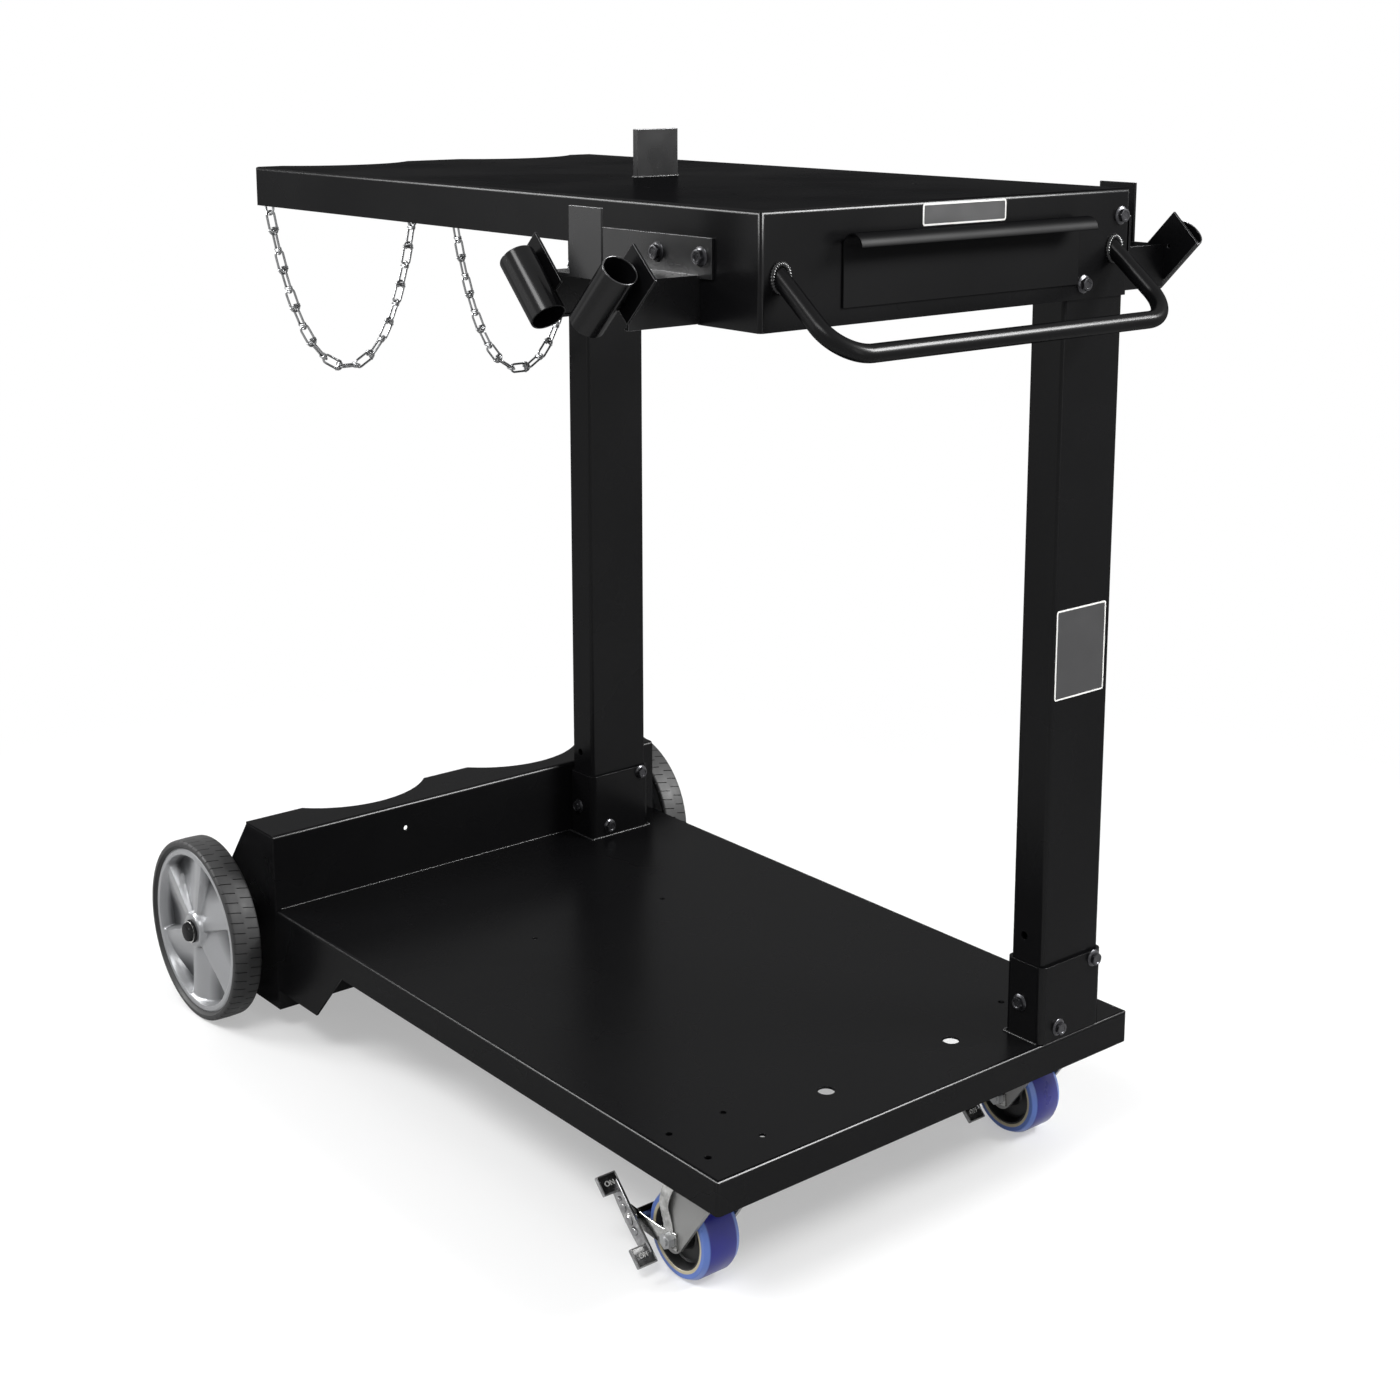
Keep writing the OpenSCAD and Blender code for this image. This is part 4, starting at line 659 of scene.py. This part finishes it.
# Tyre: a closed section carried round, cut by short slits in two rows on the tread.
# Each slit is a narrow dip in radius, one pitch apart, the rows half a pitch out of step.
def tyreSurface(w):
    seat, out, half = w["seatR"], w["tyreR"], w["tyreW"] / 2
    section = np.array([(seat, -0.80 * half), (seat + 3, -0.93 * half), (out - 8, -half), (out - 4, -half),
                        (out - 1.6, -0.93 * half), (out - 0.7, -0.86 * half), (out - 0.5, -0.80 * half),
                        (out - 0.2, -0.5 * half), (out - 0.1, -0.14 * half), (out, -0.1 * half),
                        (out, 0.1 * half), (out - 0.1, 0.14 * half), (out - 0.2, 0.5 * half),
                        (out - 0.5, 0.80 * half), (out - 0.7, 0.86 * half), (out - 1.6, 0.93 * half),
                        (out - 4, half), (out - 8, half), (seat + 3, 0.93 * half), (seat + 1.5, 0.84 * half),
                        (seat, 0.80 * half)])
    pitch = 2 * math.pi / w["slits"]
    part = np.array([0.0, 0.2, 0.236, 0.264, 0.3, 0.5, 0.7, 0.736, 0.764, 0.8])
    angle = ((np.arange(w["slits"])[:, None] + part[None, :]) * pitch).reshape(-1, 1)
    phase = angle / pitch % 1
    r, h = section.T
    share = np.abs(h) / half
    row = np.where(h > 0, 0.25, 0.75)
    inSlit = (np.abs(phase - row) < w["slitHalf"]) & (share > 0.12) & (share < 0.99) & (r > out - 4)
    r = r - inSlit * w["slitDepth"]
    angle = angle + h * w["twist"]
    return gridSurface(np.stack([r * np.cos(angle), r * np.sin(angle), h + 0 * angle], -1) * mm, True, True)


capProfile = [(0, -1.0), (16.0, -1.0), (16.1, 0.0), (15.4, 1.6), (14.0, 2.2), (13.4, 2.4), (13.0, 5.2),
              (12.0, 7.4), (9.2, 8.6), (4.8, 9.0), (0, 9.1)]
# a bright ring round each cap's shoulder
capRingProfile = [(13.6, 2.3), (14.1, 2.0), (15.2, 2.1), (15.3, 2.7), (14.4, 3.0), (13.6, 2.9)]


# A surface made about Z, laid along X on one side of the cart at the rear axle's height
def onAxle(surface, side, x, roll=0.0):
    return placed(turnedTo(surface, (side, 0, 0), roll), (side * x * mm, wheelSet["y"], wheelSet["z"] * mm))


for side, name in ((-1, "left"), (1, "right")):
    addPiece(name + "RimMoulding", onAxle(rimSurface(wheelSet), side, wheelSet["x"], wheelSet["roll"]),
             name + "_wheel", "nylon", [name + "_rim"], smoothAngle=40)
    addPiece(name + "TyreTread", onAxle(tyreSurface(wheelSet), side, wheelSet["x"]),
             name + "_wheel", "rubber", [name + "_tyre"], smoothAngle=32)
caps = [onAxle(turned(capProfile, 48), side, wheelSet["capX"]) for side in (-1, 1)]
addPiece("hubCapDomes", joined(*caps), "frame", "cap", ["hub_caps"])
capRings = [onAxle(ringOf(capRingProfile, 48), side, wheelSet["capX"]) for side in (-1, 1)]
addPiece("hubCapRings", joined(*capRings), "frame", "chromate", smoothAngle=60)
print("rear wheels done")

# Casters, in mm and degrees: middle of each wheel and pivot of the brake lever
casterSet = {"x": 261.0, "wheelY": 116.0, "wheelZ": 50.8, "pivotY": 178.0, "tilt": 44.0}
treadProfile = [(42.0, -25.0), (46.4, -25.0), (47.4, -24.4), (50.2, -18.8), (50.8, -17.0), (50.8, 17.0),
                (50.2, 18.8), (47.4, 24.4), (46.4, 25.0), (42.0, 25.0)]
ringProfile = [(38.9, -24.6), (42.0, -24.9), (42.0, 24.9), (38.9, 24.6), (38.4, 24.0), (38.4, -24.0)]
hubProfile = [(9.05, -25.5), (14.5, -25.5), (15.5, -24.8), (17.2, -13.0), (18.5, -12.0), (31.0, -12.0),
              (33.0, -13.5), (36.8, -23.6), (38.4, -24.0), (38.4, 24.0), (36.8, 23.6), (33.0, 13.5),
              (31.0, 12.0), (18.5, 12.0), (17.2, 13.0), (15.5, 24.8), (14.5, 25.5), (9.05, 25.5)]


# Strap: a bright flat bar that leaves the crown, bows outward and ends round the brake's pivot
def strapSurface(c):
    y0, y1, z0 = along(c["wheelY"]), along(c["pivotY"]), c["wheelZ"] * mm
    barX = -0.0335
    upper = resampled([(barX, y0 - 0.002, 0.1205), (barX - 0.004, y0 + 0.004, 0.105),
                       (barX - 0.0035, y0 + 0.009, 0.088), (barX, y0 + 0.006, 0.072),
                       (barX, y0 + 0.001, z0)], 60)
    lower = resampled([(barX, y0 - 0.011, z0), (barX, y0 + 0.02, z0 - 0.003),
                       (barX, y0 + 0.042, z0 - 0.002), (barX, y1 + 0.011, z0)], 50)
    return joined(swept(eased(upper, 40), (1, 0, 0), roundBar(2.6, 15.0, 1.0)[:, ::-1]),
                  swept(eased(lower, 30), (1, 0, 0), roundBar(2.6, 20.0, 1.0)[:, ::-1]))


# Brake lever about its pivot, before it is tilted: mm from the pivot
brakeSet = {"bodyX": -40, "bodyWidth": 20.5, "bodyThick": 5.0, "bowOut": 2.2, "bowUp": 1.2,
            "padMiddle": 43, "padX": (-62, -36), "padWidth": 23.0, "padThick": 4.6,
            "padZ": 1.8, "padSag": 0.8,
            "domeX": -44.3, "domeZ": 0.8,   # domes: place along the lever, radius, height
            "domes": ((-15, 5.0, 3.0), (-2, 6.0, 3.4), (13, 5.0, 2.8), (24, 2.8, 2.0)),
            "frameX": (-61, -37), "frameHalf": 10.5, "frameZ": 4.2, "frameWire": 0.9,
            "wordX": -49, "wordZ": 4.6}


def rockerSurface(b):
    # body: a pressed channel between the pads, its back bowed away from the wheel by 1 - s squared
    s = np.linspace(-1, 1, 40)
    bow = 1 - s * s
    path = np.stack([b["bodyX"] - b["bowOut"] * bow, b["padMiddle"] * s, b["bowUp"] * bow], -1) * mm
    parts = [swept(path, (1, 0, 0), roundBar(b["bodyWidth"], b["bodyThick"], 2.0),
                   size=1 - 0.16 * np.abs(s) ** 3)]
    x, sag = np.linspace(*b["padX"], 12), np.linspace(-1, 1, 12) ** 2
    for end in (-1, 1):
        pad = np.stack([x, 0 * x + end * b["padMiddle"], b["padZ"] + b["padSag"] * sag], -1) * mm
        parts.append(swept(pad, (0, 0, 1), roundBar(b["padWidth"], b["padThick"], 1.6)))
    for spot, radius, high in b["domes"]:
        dome = turned([(radius, -2.0), (radius, high * 0.4), (radius * 0.8, high * 0.8), (0, high)], 24)
        parts.append(placed(turnedTo(dome, (-1, 0, 0)), (b["domeX"] * mm, spot * mm, b["domeZ"] * mm)))
    return joined(*parts)


# Raised frames of the two pads, rectangles of wire
def padFrames(b):
    (outer, inner), half = b["frameX"], b["frameHalf"]
    corners = np.array([(outer, -half), (inner, -half), (inner, half), (outer, half), (outer, -half)])
    frames = []
    for end in (-1, 1):
        line = np.concatenate([corners + [0, end * b["padMiddle"]], np.full((5, 1), b["frameZ"])], 1) * mm
        frames.append(swept(resampled(line, 60), (0, 0, 1), circle(b["frameWire"], 6)))
    return joined(*frames)


# Letters of a switch pad as a mesh, lying on the pad's face
def padLetters(word, size):
    curve = bpy.data.curves.new(word, "FONT")
    curve.body, curve.size, curve.extrude = word, size * mm, 0.35 * mm
    curve.align_x, curve.align_y = "CENTER", "CENTER"
    text = bpy.data.objects.new(word, curve)
    bpy.context.scene.collection.objects.link(text)
    bpy.context.view_layer.update()
    mesh = bpy.data.meshes.new_from_object(text)
    verts = np.array([v.co for v in mesh.vertices])
    work = bmesh.new()
    work.from_mesh(mesh)
    bmesh.ops.triangulate(work, faces=work.faces)
    faces = np.array([[v.index for v in f.verts] for f in work.faces])
    work.free()
    bpy.data.objects.remove(text)
    bpy.data.meshes.remove(mesh)
    return verts, faces


def tilted(surface, degrees):
    c, s = math.cos(math.radians(degrees)), math.sin(math.radians(degrees))
    return surface[0] @ np.array([[1, 0, 0], [0, c, s], [0, -s, c]]), surface[1]


# the words read across the pads, from the outer edge towards the wheel
words = joined(*[placed(padLetters(word, size), (brakeSet["wordX"] * mm, end * brakeSet["padMiddle"] * mm,
                                                 brakeSet["wordZ"] * mm))
                 for word, size, end in (("ON", 8.5, 1), ("OFF", 7.5, -1))])
for side, name in ((-1, "left"), (1, "right")):
    x, z = side * casterSet["x"] * mm, casterSet["wheelZ"] * mm
    wheelSpot, pivot = (x, along(casterSet["wheelY"]), z), (x, along(casterSet["pivotY"]), z)
    for label, profile, steps, look, slot, nodes in (
            ("RollTread", treadProfile, 128, "polyurethane", "blue_tread", [name + "_tread"]),
            ("RollRing", ringProfile, 96, "cream", "cream_core", [name + "_core"]),
            ("RollHub", hubProfile, 96, "hubBlack", "cream_core", [])):
        addPiece(name + label, placed(turnedTo(ringOf(profile, steps), (1, 0, 0)), wheelSpot),
                 name + "_caster_wheel", look, nodes, smoothAngle=30)
    addPiece(name + "StrapBar", placed(strapSurface(casterSet), (x, 0, 0)), name + "_caster", "chromate",
             [name + "_brake_strap"], smoothAngle=45)
    # the pads' words are painted pale, a painted highlight for their glint
    for label, surface, look, nodes, smoothAngle in (
            ("Rocker", rockerSurface(brakeSet), "gunmetal", [name + "_brake_lever"], 40),
            ("PadFrames", padFrames(brakeSet), "satinZinc", [], 60),
            ("PadWords", words, "letterEnamel", [], 30)):
        addPiece(name + label, placed(tilted(surface, casterSet["tilt"]), pivot),
                 name + "_brake", look, nodes, smoothAngle=smoothAngle)
print("casters done")

# Blank stickers where the photograph has labels
stickerSet = {"thick": 0.3, "radius": 3.0, "border": 2.0, "fieldThick": 0.42, "fieldRadius": 1.5,
              "labels": [("panel", 124, 23, (8.5, 1, 1159.5)), ("post", 84, 106, (218.5, 4, 649.5))]}


# A closed flat slab with round corners, its back on the plane y = 0 and its face towards -Y
def slab(width, height, radius, thick, centre):
    outline = roundBar(width, height, radius, 6)
    depth = np.array([0.0, 0.0, 1.0, 1.0])[:, None] * thick * mm
    share = np.array([0.0, 1.0, 1.0, 0.0])[:, None]
    ring = np.stack([outline[:, 0] * share, -depth + 0 * outline[:, 0], outline[:, 1] * share], -1)
    return placed(gridSurface(ring, False, True), centre)


for label, width, height, spot in stickerSet["labels"]:
    centre = (spot[0] * mm, along(spot[1]), spot[2] * mm)
    border = stickerSet["border"]
    addPiece(label + "Sticker", slab(width, height, stickerSet["radius"], stickerSet["thick"], centre),
             "frame", "vinyl", smoothAngle=30)
    addPiece(label + "Field", slab(width - 2 * border, height - 2 * border, stickerSet["fieldRadius"],
                                   stickerSet["fieldThick"], centre),
             "frame", "darkVinyl", smoothAngle=30)
print("stickers done")

# Floor: near the cart a pale matt floor that takes the shadow, lifted where it is seen, and further out
# plain white; near and far are metres from the middle of the cart
floorSet = {"size": 60.0, "near": 0.95, "far": 1.9, "color": "#c4c4c4", "lift": 0.39}
half = floorSet["size"] / 2
floorMesh = bpy.data.meshes.new("floor")
corners = [(-half, -half, 0), (half, -half, 0), (half, half, 0), (-half, half, 0)]
floorMesh.from_pydata(corners, [], [(0, 1, 2, 3)])
floor = bpy.data.objects.new("floor", floorMesh)
bpy.context.scene.collection.objects.link(floor)
floorLook = bpy.data.materials.new("paleStudioFloor")
tree = clearTree(floorLook)
spot = addNode(tree, "ShaderNodeTexCoord").outputs["Object"]
away = addNode(tree, "ShaderNodeVectorMath", {0: spot}, operation="LENGTH").outputs["Value"]
fade = addNode(tree, "ShaderNodeMapRange", {"Value": away, "From Min": floorSet["near"],
                                            "From Max": floorSet["far"]},
               interpolation_type="SMOOTHSTEP").outputs["Result"]
seen = seenRays(tree)
share = combined(tree, "MULTIPLY", fade, seen)
lift = combined(tree, "MULTIPLY", seen, floorSet["lift"])
white = (1.0, 1.0, 1.0, 1.0)
matt = addNode(tree, "ShaderNodeBsdfDiffuse", {"Color": linear(floorSet["color"])}).outputs["BSDF"]
plain = addNode(tree, "ShaderNodeEmission", {"Color": white, "Strength": 1.0}).outputs["Emission"]
pale = addNode(tree, "ShaderNodeEmission", {"Color": white, "Strength": lift}).outputs["Emission"]
near = addNode(tree, "ShaderNodeAddShader", {0: matt, 1: pale}).outputs["Shader"]
mixed = addNode(tree, "ShaderNodeMixShader", {0: share, 1: near, 2: plain}).outputs["Shader"]
addNode(tree, "ShaderNodeOutputMaterial", {"Surface": mixed})
floorMesh.materials.append(floorLook)

# World: white where it is seen, softer where it lights
worldSet = {"seen": 1.0, "lighting": 0.62}
world = bpy.data.worlds.new("studio")
bpy.context.scene.world = world
tree = clearTree(world)
strength = addNode(tree, "ShaderNodeMapRange", {"Value": seenRays(tree), "To Min": worldSet["lighting"],
                                                "To Max": worldSet["seen"]}).outputs["Result"]
sky = addNode(tree, "ShaderNodeBackground", {"Color": white, "Strength": strength}).outputs["Background"]
addNode(tree, "ShaderNodeOutputWorld", {"Surface": sky})

lampSet = [
    # name, place, aim, size, power; the strips are where the folds facing front and left mirror them,
    # and what is named glint lights no matt surface
    ("keyBox", (-2.3, -1.0, 3.3), (0, 0, 0.6), (1.6, 1.0), 70),
    ("frontStrip", (1.9, -2.3, 2.5), (0, -0.3, 0.6), (1.4, 0.35), 95),
    ("rearStrip", (-2.0, 2.1, 2.3), (0, 0.2, 0.6), (1.4, 0.35), 50),
    ("lowStrip", (-0.2, -3.6, 1.2), (0, 0, 0.7), (0.3, 1.8), 10),
    ("frontGlint", (1.9, -2.3, 2.5), (0, -0.3, 0.6), (1.4, 0.9), 560),
    ("rearGlint", (-2.0, 2.1, 2.1), (0, 0.2, 0.6), (1.4, 0.9), 150),
    ("leftGlint", (-3.2, 2.2, 1.4), (0, 0, 0.8), (2.4, 2.2), 18),
]
for name, place, aim, size, power in lampSet:
    lamp = bpy.data.lights.new(name, "AREA")
    lamp.shape, lamp.size, lamp.size_y, lamp.energy = "RECTANGLE", size[0], size[1], power
    holder = bpy.data.objects.new(name, lamp)
    bpy.context.scene.collection.objects.link(holder)
    holder.location = place
    holder.rotation_euler = (Vector(aim) - Vector(place)).to_track_quat("-Z", "Y").to_euler()
    holder.visible_diffuse = not name.endswith("Glint")
print("stage and lamps done")
